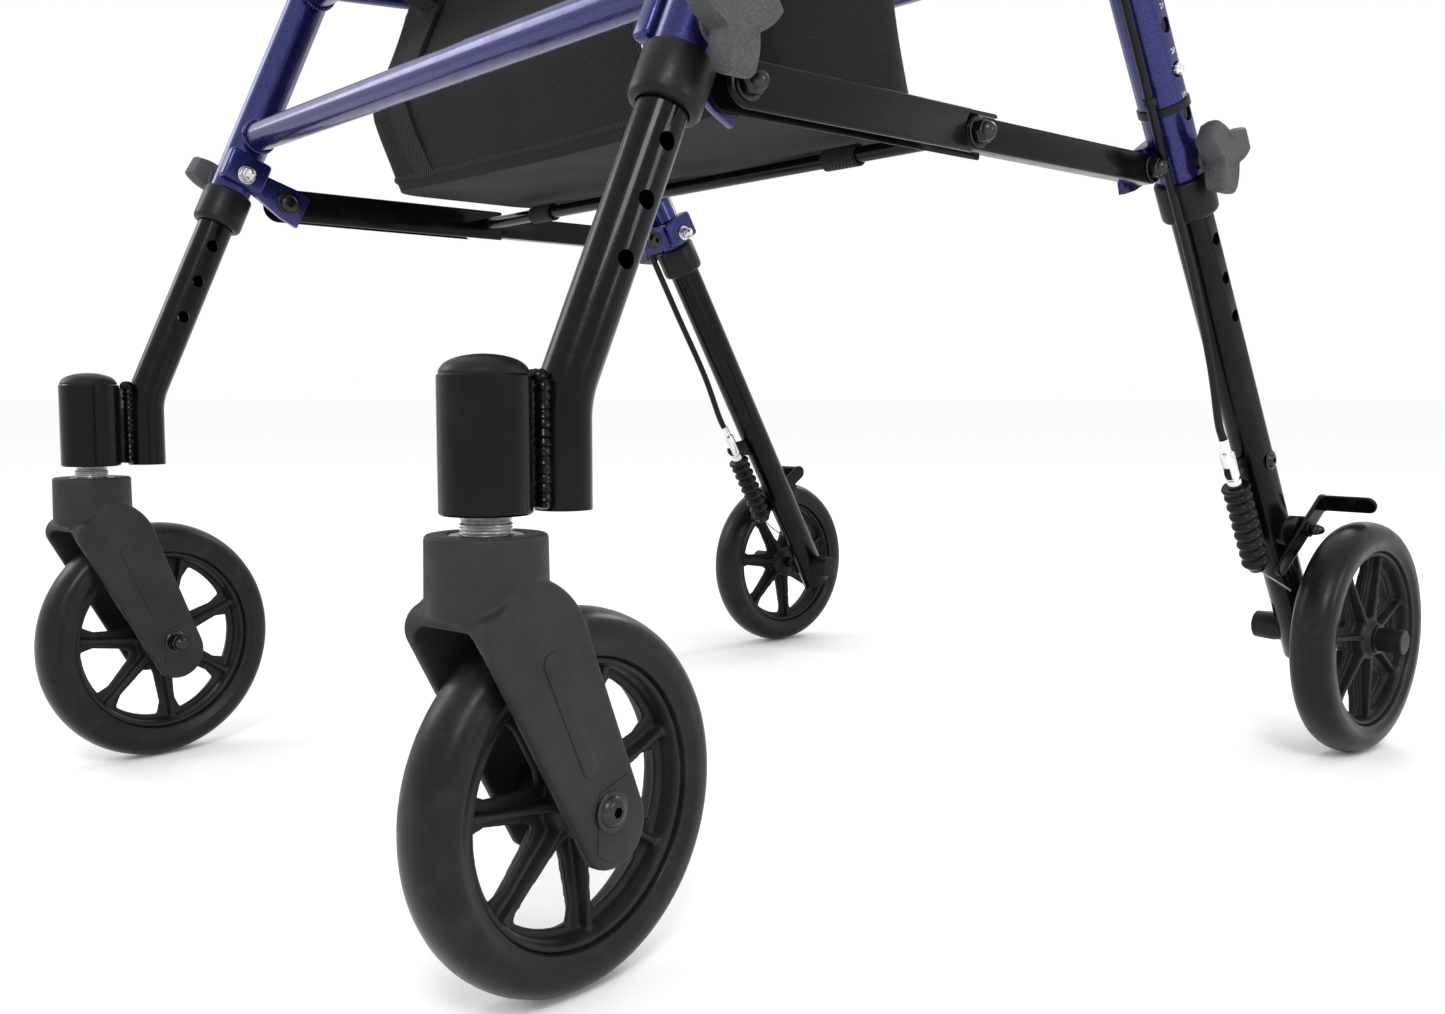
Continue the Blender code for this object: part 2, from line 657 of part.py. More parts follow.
def brake_arm():
    """Bell-crank bar: cable end, pivot, and a shoe tab bent out over the tyre."""
    cable_end = (ARM_PIVOT[0] - 0.0350, ARM_PIVOT[1] - 0.0225)
    corner = (ARM_PIVOT[0] + 0.0200, ARM_PIVOT[1] + 0.0165)
    bar = slab("brake_arm_left", tapered_bar(cable_end, 0.0058, corner, 0.0060),
               ARM_X - 0.0018, ARM_X + 0.0012, "black_paint")
    pin = turned("pin", ((-0.0140, 0.0028), (0.0012, 0.0028), (0.0012, 0.0062), (0.0030, 0.0050),
                         (0.0042, 0.0020)), (ARM_X, *ARM_PIVOT), (1, 0, 0), "black_paint", sides=14)
    tab = slab("tab", ((-0.0015, -0.0060), (0.0015, -0.0060), (0.0015, 0.0060), (-0.0015, 0.0060)),
               0.0, 0.0370, "black_paint")
    tab.data.transform(Matrix.Translation((ARM_X - 0.0018, corner[0], corner[1])) @
                       Matrix.Rotation(radians(33), 4, 'X'))
    unite(bar, pin, tab)
    set_origin(bar, (ARM_X, *ARM_PIVOT))
    return bar


def bellows():
    """Ribbed rubber boot over the return spring."""
    stop_z = STOP_Z
    top = Vector((TRACK_X, rear_y(stop_z) - 0.0320, stop_z)) - REAR_DIR * 0.0125
    ribs = 8
    pitch = 0.0075
    profile = [(0.0, 0.0060)]
    for k in range(ribs):
        profile += [(-(k + 0.40) * pitch, 0.0088), (-(k + 0.92) * pitch, 0.0068)]
    profile.append((-(ribs + 0.15) * pitch, 0.0060))
    return turned("bellows_left", profile, top, REAR_DIR, "rubber", sides=10)


# ---------------------------------------------------------------- folding links
def channel(name):
    """Front link: inverted U pressing whose outer wall is cut back round the middle pivot."""
    half_h = CHANNEL_H / 2
    low_x = LINK_X - CHANNEL_W / 2
    high_x = LINK_X + CHANNEL_W / 2
    end = P2[0] + 0.0150
    outline = arc(P1, half_h, 90, 270, 8)
    outline += [(end, P2[1] - half_h), (end, P2[1] + half_h)]
    body = slab(name, outline, low_x, high_x, "black_paint")
    hollow = slab("hollow", [(P1[0] - 0.030, P1[1] - 0.040), (end + 0.02, P2[1] - 0.040),
                             (end + 0.02, P2[1] + half_h - CHANNEL_T),
                             (P1[0] - 0.030, P1[1] + half_h - CHANNEL_T)],
                  low_x + CHANNEL_T, high_x - CHANNEL_T, "black_paint")
    notch = slab("notch", arc(P2, 0.0125, 100, 260, 8) + [(end + 0.02, P2[1] - 0.0135),
                                                         (end + 0.02, P2[1] + 0.0095)],
                 high_x - CHANNEL_T - 0.0005, high_x + 0.01, "black_paint")
    cut(body, hollow, notch)
    set_origin(body, (LINK_X, *P1))
    return body


def rear_link(name):
    """Rear link bar, round at both ends, nested in the channel."""
    half_t = (CHANNEL_W - 2 * CHANNEL_T) / 2 - 0.0006
    bar = slab(name, tapered_bar(P2, LINK_H / 2, P3, LINK_H / 2), LINK_X - half_t,
               LINK_X + half_t, "black_paint")
    set_origin(bar, (LINK_X, *P3))
    return bar


def sync_rod():
    """Rod joining the middle pivots of the two sides."""
    reach = LINK_X - CHANNEL_W / 2 - GAP
    rod = tube("sync_rod", ((-reach, *P2), (reach, *P2)), 0.0042, "black_paint", sides=12)
    set_origin(rod, (0, *P1))
    return rod


# ---------------------------------------------------------------- handles, brakes, cables
def handle_post():
    """Black handle tube: up out of the leg, then bent back to the grip."""
    turn = on_front(GRIP_Z)
    end = (TRACK_X, turn.y + 0.1500, GRIP_Z + 0.004)
    post = tube("handle_tube_left", (on_front(HANDLE_ENTRY_Z), turn, end), HANDLE_R, "black_paint",
                bend=0.045, sides=14, steps=5)
    knob = on_front(HANDLE_KNOB_Z)
    for step in range(-3, 3):
        centre = knob + FRONT_DIR * step * HOLE_PITCH * 0.8
        if centre.z > HANDLE_ENTRY_Z + 0.012:
            cut(post, cross_hole(TRACK_X, TRACK_X + 0.03, centre, HOLE_R))
    return post


def grip():
    turn = on_front(GRIP_Z)
    start = Vector((TRACK_X, turn.y + 0.0440, GRIP_Z + 0.0013))
    end = Vector((TRACK_X, turn.y + 0.1560, GRIP_Z + 0.0043))
    bore = HANDLE_R + GAP
    length = (end - start).length
    profile = ((0.0, bore), (0.0, 0.0150), (0.004, 0.0168), (0.030, 0.0150), (0.075, 0.0162),
               (length - 0.006, 0.0150), (length, 0.0120), (length, bore))
    return turned_ring("grip_left", profile, start, end - start, "rubber", sides=16)


def brake_lever():
    """Loop lever under the grip, hung from the handle tube."""
    turn = on_front(GRIP_Z)
    pivot = (turn.y + 0.030, GRIP_Z - 0.0220)
    x = TRACK_X
    width = 0.0120
    loop = ((x - width, pivot[0], pivot[1]), (x - width, pivot[0] + 0.020, pivot[1] - 0.016),
            (x - width, pivot[0] + 0.115, pivot[1] - 0.012), (x + width, pivot[0] + 0.115, pivot[1] - 0.012),
            (x + width, pivot[0] + 0.020, pivot[1] - 0.016), (x + width, pivot[0], pivot[1]))
    lever = tube("brake_lever_left", loop, 0.0032, "black_plastic", bend=0.010, sides=8, steps=3)
    hub = turned("hub", ((-width - 0.004, 0.0065), (width + 0.004, 0.0065)), (x, *pivot), (1, 0, 0),
                 "black_plastic", sides=14)
    unite(lever, hub)
    set_origin(lever, (x, *pivot))
    return lever


def cable_route():
    """Route of the brake cable from the lever, down the rear tube to the cable stop."""
    turn = on_front(GRIP_Z)
    stop = Vector((TRACK_X, rear_y(STOP_Z) - 0.0320, STOP_Z)) + REAR_DIR * 0.0236
    front = REAR_OUTER_R + CABLE_R + 0.0016
    beside = Vector((0.004, -front / cos(REAR_LEAN), 0))
    return [Vector((TRACK_X - 0.026, turn.y + 0.024, GRIP_Z - 0.024)),
            Vector((TRACK_X - 0.034, turn.y + 0.010, GRIP_Z - 0.060)),
            Vector((TRACK_X - 0.032, front_y(0.800) + 0.040, 0.800)),
            Vector((TRACK_X - 0.026, front_y(0.720) + 0.050, 0.720)),
            Vector((TRACK_X - 0.012, rear_y(0.640) - 0.020, 0.640)),
            Vector((TRACK_X - 0.001, rear_y(0.560), 0.560)) + beside * 1.15,
            Vector((TRACK_X, rear_y(0.500), 0.500)) + beside,
            Vector((TRACK_X, rear_y(0.440), 0.440)) + beside,
            Vector((TRACK_X, rear_y(0.375), 0.375)) + beside * 1.18,
            Vector((TRACK_X, rear_y(0.310), 0.310)) + beside * 1.20,
            Vector((TRACK_X, rear_y(0.255), 0.255)) + Vector((0.002, -0.0265, 0)),
            stop + REAR_DIR * 0.012,
            stop]


def smooth_points(points, per_span):
    """Points of a Catmull-Rom curve through the given ones."""
    out = []
    last = len(points) - 1
    for i in range(last):
        p0 = points[max(i - 1, 0)]
        p1 = points[i]
        p2 = points[i + 1]
        p3 = points[min(i + 2, last)]
        for k in range(per_span):
            t = k / per_span
            out.append(0.5 * ((2 * p1) + (p2 - p0) * t + (2 * p0 - 5 * p1 + 4 * p2 - p3) * t * t +
                              (3 * p1 - p0 - 3 * p2 + p3) * t * t * t))
    out.append(points[last])
    return out


def brake_cable():
    points = smooth_points(cable_route(), 3)
    curve = bpy.data.curves.new("brake_cable_left", 'CURVE')
    curve.dimensions = '3D'
    curve.bevel_depth = CABLE_R
    curve.bevel_resolution = 2
    curve.use_fill_caps = True
    curve.render_resolution_u = 0
    spline = curve.splines.new('POLY')
    spline.points.add(len(points) - 1)
    for target, point in zip(spline.points, points):
        target.co = (*point, 1.0)
    guide = bpy.data.objects.new("guide", curve)
    bpy.context.collection.objects.link(guide)
    bpy.context.view_layer.update()
    graph = bpy.context.evaluated_depsgraph_get()
    mesh = bpy.data.meshes.new_from_object(guide.evaluated_get(graph))
    bpy.data.objects.remove(guide, do_unlink=True)
    mesh_data = bmesh.new()
    mesh_data.from_mesh(mesh)
    bmesh.ops.remove_doubles(mesh_data, verts=mesh_data.verts, dist=0.00001)
    return make_object("brake_cable_left", mesh_data, "rubber")


# ---------------------------------------------------------------- seat, backrest, bag
def seat():
    """Padded seat board hinged on its front edge, resting over the rails."""
    front = front_y(SEAT_Z) + 0.0200
    rear = FOLD_AXIS[0] + 0.090
    outline = ((front, SEAT_Z), (rear, SEAT_Z), (rear, SEAT_Z + 0.014), (rear - 0.008, SEAT_Z + 0.022),
               (front + 0.008, SEAT_Z + 0.022), (front, SEAT_Z + 0.014))
    pad = slab("seat", outline, -SEAT_HALF_WIDTH, SEAT_HALF_WIDTH, "vinyl")
    set_origin(pad, (0, front, SEAT_Z))
    return pad


def backrest():
    """Bowed bar between the posts and the foam pad round its middle."""
    inset = TRACK_X - OUTER_R - GAP
    y0 = front_y(BACK_Z)
    points = ((-inset, y0, BACK_Z), (-0.205, y0, BACK_Z), (-0.140, y0 - 0.095, BACK_Z),
              (0.140, y0 - 0.095, BACK_Z), (0.205, y0, BACK_Z), (inset, y0, BACK_Z))
    bar = tube("backrest_bar", points, 0.0070, "black_paint", bend=0.05, sides=10, steps=4)
    pad = turned_ring("backrest_pad", ((-0.098, 0.0076), (-0.098, 0.0180), (-0.090, 0.0225),
                                       (0.090, 0.0225), (0.098, 0.0180), (0.098, 0.0076)),
                      (0, y0 - 0.095, BACK_Z), (1, 0, 0), "rubber", sides=16)
    return bar, pad


def bag():
    """Soft bag hung under the seat, its front wrapping round into the bottom."""
    low = 0.3720
    outline = [(-0.052, 0.4950), (-0.136, 0.4950), (-0.176, 0.4100)]
    outline += arc((-0.144, low + 0.032), 0.032, 180, 270, 5)
    outline += arc((-0.030, low + 0.016), 0.016, 270, 360, 3)
    return slab("bag", outline, -0.188, 0.188, "nylon")


# ---------------------------------------------------------------- assembly
def build_side_pieces():
    """Everything that is the same on both sides, made on +X and mirrored."""
    pieces = [(front_leg_outer(), "blue_paint"),
              (leg_collar("front_collar_left", on_front(FRONT_COLLAR_Z), FRONT_DIR,
                          OUTER_R, INNER_R + 0.0004), "black_plastic"),
              (star_knob("front_knob_left", on_front(FRONT_KNOB_Z), 1.0, OUTER_R), "grey_plastic"),
              (rear_leg_outer(), "blue_paint"),
              (leg_collar("rear_collar_left", on_rear(REAR_COLLAR_Z), REAR_DIR,
                          REAR_OUTER_R, REAR_INNER_R + 0.0004), "black_plastic"),
              (star_knob("rear_knob_left", on_rear(REAR_KNOB_Z), 1.0, REAR_OUTER_R), "grey_plastic"),
              (star_knob("handle_knob_left", on_front(HANDLE_KNOB_Z), 1.0, OUTER_R), "grey_plastic"),
              (caster_leg(), "black_paint"),
              (rear_leg_inner(), "black_paint"),
              (snap_button(), "bright_steel"),
              (rear_axle(), "black_plastic"),
              (brake_arm(), "black_paint"),
              (bellows(), "rubber"),
              (channel("front_link_left"), "black_paint"),
              (rear_link("rear_link_left"), "black_paint"),
              (handle_post(), "black_paint"),
              (grip(), "rubber"),
              (brake_lever(), "black_plastic"),
              (brake_cable(), "rubber")]
    rear_centre = (REAR_WHEEL_X, REAR_AXLE[0], REAR_AXLE[1])
    for name, builder in (("rear_tyre_left", tyre), ("rear_rim_left", rim)):
        args = (name, rear_centre) if builder is tyre else (name, rear_centre, 0.0125)
        piece = builder(*args)
        set_origin(piece, rear_centre)
        pieces.append((piece, "tyre" if builder is tyre else "black_plastic"))
    for piece, finish in pieces:
        mirrored(piece, piece.name.replace("_left", "_right"), finish)


def build_casters():
    """Both casters trail the same way, turned a little about their swivel axes."""
    for side, sign in SIDES:
        swivel = bpy.data.objects.new("swivel_" + side, None)
        swivel.location = (sign * TRACK_X, SWIVEL_Y, 0)
        swivel.rotation_euler = (0, 0, SWIVEL_TURN)
        bpy.context.collection.objects.link(swivel)
        hub = (0, TRAIL, WHEEL_R)
        wheel_tyre = tyre("front_tyre_" + side, hub)
        wheel_rim = rim("front_rim_" + side, hub, FORK_INNER - 0.0006)
        for piece in (wheel_tyre, wheel_rim):
            set_origin(piece, hub)
            at_caster(piece, side, piece.name)
        at_caster(caster_fork("caster_fork_" + side), side, "caster_fork_" + side)
        at_caster(caster_stem("caster_stem_" + side), side, "caster_stem_" + side)
        axle = caster_axle("caster_axle_" + side, TRAIL, WHEEL_R)
        if sign > 0:
            axle.data.transform(Matrix.Diagonal((-1.0, 1.0, 1.0, 1.0)))
            axle.data.flip_normals()
        at_caster(axle, side, "caster_axle_" + side)


def centre():
    """Put the object's bounding box symmetrically about y = 0."""
    for obj in bpy.data.objects:
        if obj.parent is None:
            obj.location.y += CENTRE_SHIFT


clear_scene()
build_side_pieces()
build_casters()
lower_cross_tube()
seat_frame()
rear_cross_tube()
sync_rod()
seat()
backrest()
bag()
centre()
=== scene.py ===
import bmesh
import bpy
import json
import random
from math import atan2, cos, pi, radians, sin, tan
from mathutils import Matrix, Vector

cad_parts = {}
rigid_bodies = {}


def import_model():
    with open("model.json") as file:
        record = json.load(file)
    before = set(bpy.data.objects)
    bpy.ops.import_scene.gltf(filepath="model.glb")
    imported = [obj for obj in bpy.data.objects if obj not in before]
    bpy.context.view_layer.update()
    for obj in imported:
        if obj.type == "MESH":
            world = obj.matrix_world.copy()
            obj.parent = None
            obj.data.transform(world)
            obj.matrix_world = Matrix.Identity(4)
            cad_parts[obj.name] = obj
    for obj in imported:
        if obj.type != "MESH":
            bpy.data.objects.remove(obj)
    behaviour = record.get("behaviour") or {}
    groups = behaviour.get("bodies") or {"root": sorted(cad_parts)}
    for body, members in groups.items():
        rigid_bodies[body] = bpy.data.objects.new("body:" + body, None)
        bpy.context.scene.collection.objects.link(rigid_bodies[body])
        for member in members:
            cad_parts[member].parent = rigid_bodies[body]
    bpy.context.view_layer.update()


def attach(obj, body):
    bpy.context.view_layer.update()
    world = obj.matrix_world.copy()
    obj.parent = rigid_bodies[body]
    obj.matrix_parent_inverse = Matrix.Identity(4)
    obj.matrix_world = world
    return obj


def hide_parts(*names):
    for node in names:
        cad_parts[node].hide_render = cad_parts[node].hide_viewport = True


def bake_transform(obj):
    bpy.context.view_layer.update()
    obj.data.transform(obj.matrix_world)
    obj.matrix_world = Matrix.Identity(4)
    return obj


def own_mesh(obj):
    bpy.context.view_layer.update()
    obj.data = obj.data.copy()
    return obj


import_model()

# ---------------------------------------------------------------- driving dimensions
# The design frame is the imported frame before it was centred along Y.
CENTRE_SHIFT = -0.0066
CAMERA_AT = (0.6563, -0.5915, 0.2327)
CAMERA_HEADING = radians(48.773)
CAMERA_PITCH = radians(4.615)
CAMERA_LENS = 33.22

WHEEL_R = 0.0763
TYRE_W = 0.027
TYRE_DEPTH = 0.019
RIM_W = 0.020
SPOKES = 7
TRACK_X = 0.236
INNER_R = 0.0111
OUTER_R = 0.0127
HOLE_R = 0.0038
HOLE_PITCH = 0.0254
SWIVEL_Y = -0.3310
SWIVEL_TURN = radians(9)
TRAIL = 0.0385
HOUSING_R = 0.0172
HOUSING_Z = (0.191, 0.242)
LEG_BEND = (-0.2970, 0.2340)
FRONT_LEAN = radians(23.4)
FRONT_COLLAR_Z = 0.3660
FRONT_TOP_Z = 0.800
FRONT_KNOB_Z = 0.3790
LOWER_BAR_Z = 0.4060
LOWER_BAR_R = 0.0095
UPPER_BAR_Z = 0.5080
UPPER_BAR_R = 0.0105
REAR_BAR_Z = 0.4900
REAR_BAR_R = 0.0100
REAR_AXLE = (0.3065, 0.0763)
REAR_WHEEL_X = 0.2771
REAR_LEAN = radians(30.0)
REAR_COLLAR_Z = 0.3600
REAR_KNOB_Z = 0.3715
REAR_OUTER_R = 0.0138
REAR_INNER_R = 0.0122
TUBE_WALL = 0.0016
SLIDE_GAP = 0.0004
BUTTON_Z = 0.4170
FOLD_AXIS = (0.0460, 0.5280)
LINK_X = 0.2315
P1 = (-0.2046, 0.3635)
P2 = (-0.0500, 0.3635)
P3 = (0.1085, 0.3635)
LINK_H = 0.0165
CHANNEL_H = 0.0210
CHANNEL_W = 0.0150
CHANNEL_T = 0.0018
HANDLE_R = 0.0109
HANDLE_KNOB_Z = 0.7420
GRIP_Z = 0.905
SEAT_Z = 0.5420
SEAT_HALF_WIDTH = 0.195
BACK_Z = 0.775
BACK_BOW = 0.095
COLLAR_BELOW = 0.0210
COLLAR_ABOVE = 0.0030
COLLAR_WALL = 0.0027
FORK_INNER = TYRE_W / 2 + 0.0050
FORK_OUTER = FORK_INNER + 0.0060
ARM_END = (TRAIL + 0.0030, WHEEL_R - 0.0068)
ARM_END_R = 0.0175
STOP_Z = 0.1880
ARM_PIVOT = (0.2860, 0.1470)
ARM_X = TRACK_X + REAR_INNER_R + 0.0024
CABLE_R = 0.0025
KNOB_WING = 0.28
RAIL_X = TRACK_X - 0.0290
STOP_AHEAD = 0.0320
BAG_HALF_X = 0.1875
BAG_TOP = 0.4940
BAG_LOW = 0.3725
BAG_TAPE_X = 0.128
BAG_SLACK = 0.0019
BAG_LIFT = 0.0040
SHARP_ANGLE = 38
SIDES = {"left": 1.0, "right": -1.0}
MIDDLE_BODIES = ("frame", "rear_frame", "spreader")
MIRROR = Matrix.Diagonal((-1.0, 1.0, 1.0, 1.0))
random.seed(7)


# ---------------------------------------------------------------- materials
def new_material(name, colour, roughness, metallic=0.0, coat=0.0, sheen=0.0, specular=0.18):
    mat = bpy.data.materials.new(name)
    mat.use_nodes = True
    shader = mat.node_tree.nodes["Principled BSDF"]
    shader.inputs["Base Color"].default_value = (*colour, 1.0)
    shader.inputs["Roughness"].default_value = roughness
    shader.inputs["Metallic"].default_value = metallic
    shader.inputs["Specular IOR Level"].default_value = specular
    shader.inputs["Coat Weight"].default_value = coat
    shader.inputs["Coat Roughness"].default_value = 0.05
    shader.inputs["Sheen Weight"].default_value = sheen
    return mat


def add_node(mat, kind, settings=None, **inputs):
    """A node with its inputs set, or linked when the value is another node's socket."""
    node = mat.node_tree.nodes.new(kind)
    for key, value in (settings or {}).items():
        setattr(node, key, value)
    for key, value in inputs.items():
        socket = node.inputs[int(key[1:])] if key[0] == "i" and key[1:].isdigit() else node.inputs[key]
        if isinstance(value, bpy.types.NodeSocket):
            mat.node_tree.links.new(value, socket)
        else:
            socket.default_value = value
    return node


def object_point(mat):
    return add_node(mat, "ShaderNodeTexCoord").outputs["Object"]


def noise(mat, scale, detail=3.0, roughness=0.55, stretch=None):
    vector = object_point(mat)
    if stretch:
        vector = add_node(mat, "ShaderNodeMapping", Vector=vector, Scale=stretch).outputs[0]
    node = add_node(mat, "ShaderNodeTexNoise", Vector=vector, Scale=scale, Detail=detail,
                    Roughness=roughness)
    return node.outputs["Fac"]


def cells(mat, scale):
    node = add_node(mat, "ShaderNodeTexVoronoi", Vector=object_point(mat), Scale=scale)
    return node.outputs["Color"]


def spread(mat, source, low, high, out_low=0.0, out_high=1.0):
    """A number mapped from one range to another, clamped."""
    node = add_node(mat, "ShaderNodeMapRange", i0=source, i1=low, i2=high, i3=out_low, i4=out_high)
    return node.outputs[0]


def blend_colours(mat, fac, first, second):
    node = add_node(mat, "ShaderNodeMix", {"data_type": 'RGBA'}, i0=fac)
    for socket, value in ((node.inputs[6], first), (node.inputs[7], second)):
        if isinstance(value, bpy.types.NodeSocket):
            mat.node_tree.links.new(value, socket)
        else:
            socket.default_value = (*value, 1.0)
    return node.outputs[2]


def math(mat, operation, first, second=0.0):
    return add_node(mat, "ShaderNodeMath", {"operation": operation}, i0=first, i1=second).outputs[0]


def drive(mat, socket_name, value):
    shader = mat.node_tree.nodes["Principled BSDF"]
    mat.node_tree.links.new(value, shader.inputs[socket_name])


def tint(mat, fac, dark, light):
    drive(mat, "Base Color", blend_colours(mat, fac, dark, light))


def dull(mat, source, low, high, rough_low, rough_high):
    """Roughness that follows a source's range of values."""
    drive(mat, "Roughness", spread(mat, source, low, high, rough_low, rough_high))


def bump(mat, height, strength, distance):
    node = add_node(mat, "ShaderNodeBump", Height=height, Strength=strength, Distance=distance)
    drive(mat, "Normal", node.outputs["Normal"])


def paint_blue():
    mat = new_material("paint_blue", (0.045, 0.055, 0.30), 0.28, metallic=0.72, coat=0.35, specular=0.3)
    flakes = spread(mat, cells(mat, 2600.0), 0.15, 0.85)
    cloud = noise(mat, 60.0)
    tint(mat, flakes, (0.007, 0.0085, 0.060), (0.030, 0.034, 0.165))
    dull(mat, cloud, 0.3, 0.7, 0.22, 0.36)
    bump(mat, flakes, 0.05, 0.0002)
    return mat


def paint_black():
    mat = new_material("paint_black", (0.004, 0.004, 0.005), 0.2, coat=0.12, specular=0.10)
    peel = noise(mat, 420.0, 2.0)
    dust = spread(mat, noise(mat, 26.0, 5.0, 0.7), 0.52, 0.75)
    tint(mat, dust, (0.0022, 0.0022, 0.0024), (0.0060, 0.0060, 0.0064))
    dull(mat, noise(mat, 90.0, 4.0), 0.3, 0.75, 0.15, 0.30)
    bump(mat, peel, 0.12, 0.0004)
    return mat


def moulded(name, dark, light, rough_low, rough_high, grain_scale, grain):
    """Moulded plastic: fine spark-eroded grain, cloudy tone and slight rub marks."""
    mat = new_material(name, light, rough_low)
    cloud = noise(mat, 34.0, 6.0, 0.65)
    fine = noise(mat, grain_scale, 2.0)
    tint(mat, spread(mat, cloud, 0.3, 0.7), dark, light)
    dull(mat, noise(mat, 120.0, 5.0, 0.7), 0.3, 0.7, rough_low, rough_high)
    bump(mat, fine, grain, 0.0003)
    return mat


def speckled_grey():
    mat = new_material("speckled_grey", (0.11, 0.11, 0.115), 0.6)
    spots = spread(mat, noise(mat, 900.0, 4.0, 0.8), 0.42, 0.62)
    tint(mat, spots, (0.048, 0.050, 0.053), (0.082, 0.085, 0.090))
    dull(mat, spots, 0.0, 1.0, 0.5, 0.68)
    bump(mat, spots, 0.3, 0.0003)
    return mat


def tyre_rubber():
    """Cast polyurethane: a soft shine, with scuffs and a few pale specks."""
    mat = new_material("tyre_pu", (0.022, 0.022, 0.024), 0.36)
    scuffs = spread(mat, noise(mat, 55.0, 6.0, 0.72), 0.50, 0.72)
    specks = spread(mat, noise(mat, 520.0, 3.0, 0.8), 0.66, 0.74)
    tone = blend_colours(mat, scuffs, (0.0065, 0.0067, 0.0075), (0.0150, 0.0155, 0.0170))
    tint(mat, specks, tone, (0.040, 0.040, 0.040))
    dull(mat, scuffs, 0.0, 1.0, 0.30, 0.50)
    bump(mat, noise(mat, 700.0, 3.0), 0.12, 0.0003)
    return mat


def plated_steel(name, tone, rough_low, rough_high, stretch):
    """Zinc, chrome or black plating with fine lines left by turning."""
    mat = new_material(name, tone, rough_low, metallic=1.0)
    lines = noise(mat, 260.0, 4.0, 0.7, stretch)
    stain = spread(mat, noise(mat, 80.0, 5.0), 0.45, 0.75)
    warm = (tone[0] * 0.74, tone[1] * 0.72, tone[2] * 0.66)
    tint(mat, stain, tone, warm)
    dull(mat, lines, 0.3, 0.7, rough_low, rough_high)
    bump(mat, lines, 0.15, 0.0002)
    return mat


def woven(name, dark, light, pitch, sheen, strength):
    """Plain weave: crossed threads whose height alternates, with painted shade in the low points between
    them, and uneven yarn of random tone.
    """
    mat = new_material(name, light, 0.82, sheen=sheen)
    parts = add_node(mat, "ShaderNodeSeparateXYZ", Vector=object_point(mat))
    x, y, z = parts.outputs
    across = math(mat, 'ADD', x, math(mat, 'MULTIPLY', y, 0.93))
    along = math(mat, 'ADD', z, math(mat, 'MULTIPLY', y, 0.81))
    turns = 2 * pi / pitch
    warp = math(mat, 'SINE', math(mat, 'MULTIPLY', across, turns))
    weft = math(mat, 'SINE', math(mat, 'MULTIPLY', along, turns))
    weave = math(mat, 'MULTIPLY', warp, weft)
    yarn = math(mat, 'MULTIPLY', noise(mat, 380.0, 4.0, 0.75), 0.9)
    height = math(mat, 'ADD', weave, yarn)
    # The tint follows the weave's height: painted shade where the threads dip, with the yarn noise adding
    # real random tone.
    tint(mat, spread(mat, height, -0.8, 1.6), dark, light)
    dull(mat, height, -1.0, 1.8, 0.92, 0.70)
    bump(mat, height, strength, 0.0005)
    return mat


def leathercloth():
    """Coated fabric with a pebbled grain, darkened along the grooves between pebbles as painted shade."""
    mat = new_material("leathercloth", (0.022, 0.022, 0.023), 0.5, coat=0.1)
    pebbles = add_node(mat, "ShaderNodeTexVoronoi", {"feature": 'DISTANCE_TO_EDGE'},
                       Vector=object_point(mat), Scale=520.0).outputs["Distance"]
    height = spread(mat, pebbles, 0.0, 0.25)
    # The tint darkens toward the pebble edges: painted shade in the grooves between pebbles.
    tint(mat, height, (0.005, 0.005, 0.0055), (0.016, 0.016, 0.0165))
    dull(mat, noise(mat, 45.0, 5.0), 0.3, 0.7, 0.42, 0.60)
    bump(mat, height, 0.45, 0.0005)
    return mat


def foam_rubber():
    mat = new_material("foam_rubber", (0.015, 0.015, 0.016), 0.85, sheen=0.08)
    pores = spread(mat, noise(mat, 850.0, 4.0, 0.8), 0.38, 0.60)
    tint(mat, pores, (0.005, 0.005, 0.0055), (0.020, 0.020, 0.021))
    dull(mat, pores, 0.0, 1.0, 0.95, 0.78)
    bump(mat, pores, 0.5, 0.0006)
    return mat


def ink_white():
    mat = new_material("ink_white", (0.75, 0.75, 0.75), 0.5)
    worn = spread(mat, noise(mat, 900.0, 4.0), 0.40, 0.60)
    tint(mat, worn, (0.55, 0.56, 0.62), (0.82, 0.82, 0.84))
    bump(mat, worn, 0.05, 0.0001)
    return mat


def floor_material():
    mat = new_material("floor", (0.97, 0.97, 0.97), 0.9)
    dull(mat, noise(mat, 30.0, 4.0), 0.3, 0.7, 0.85, 0.98)
    return mat


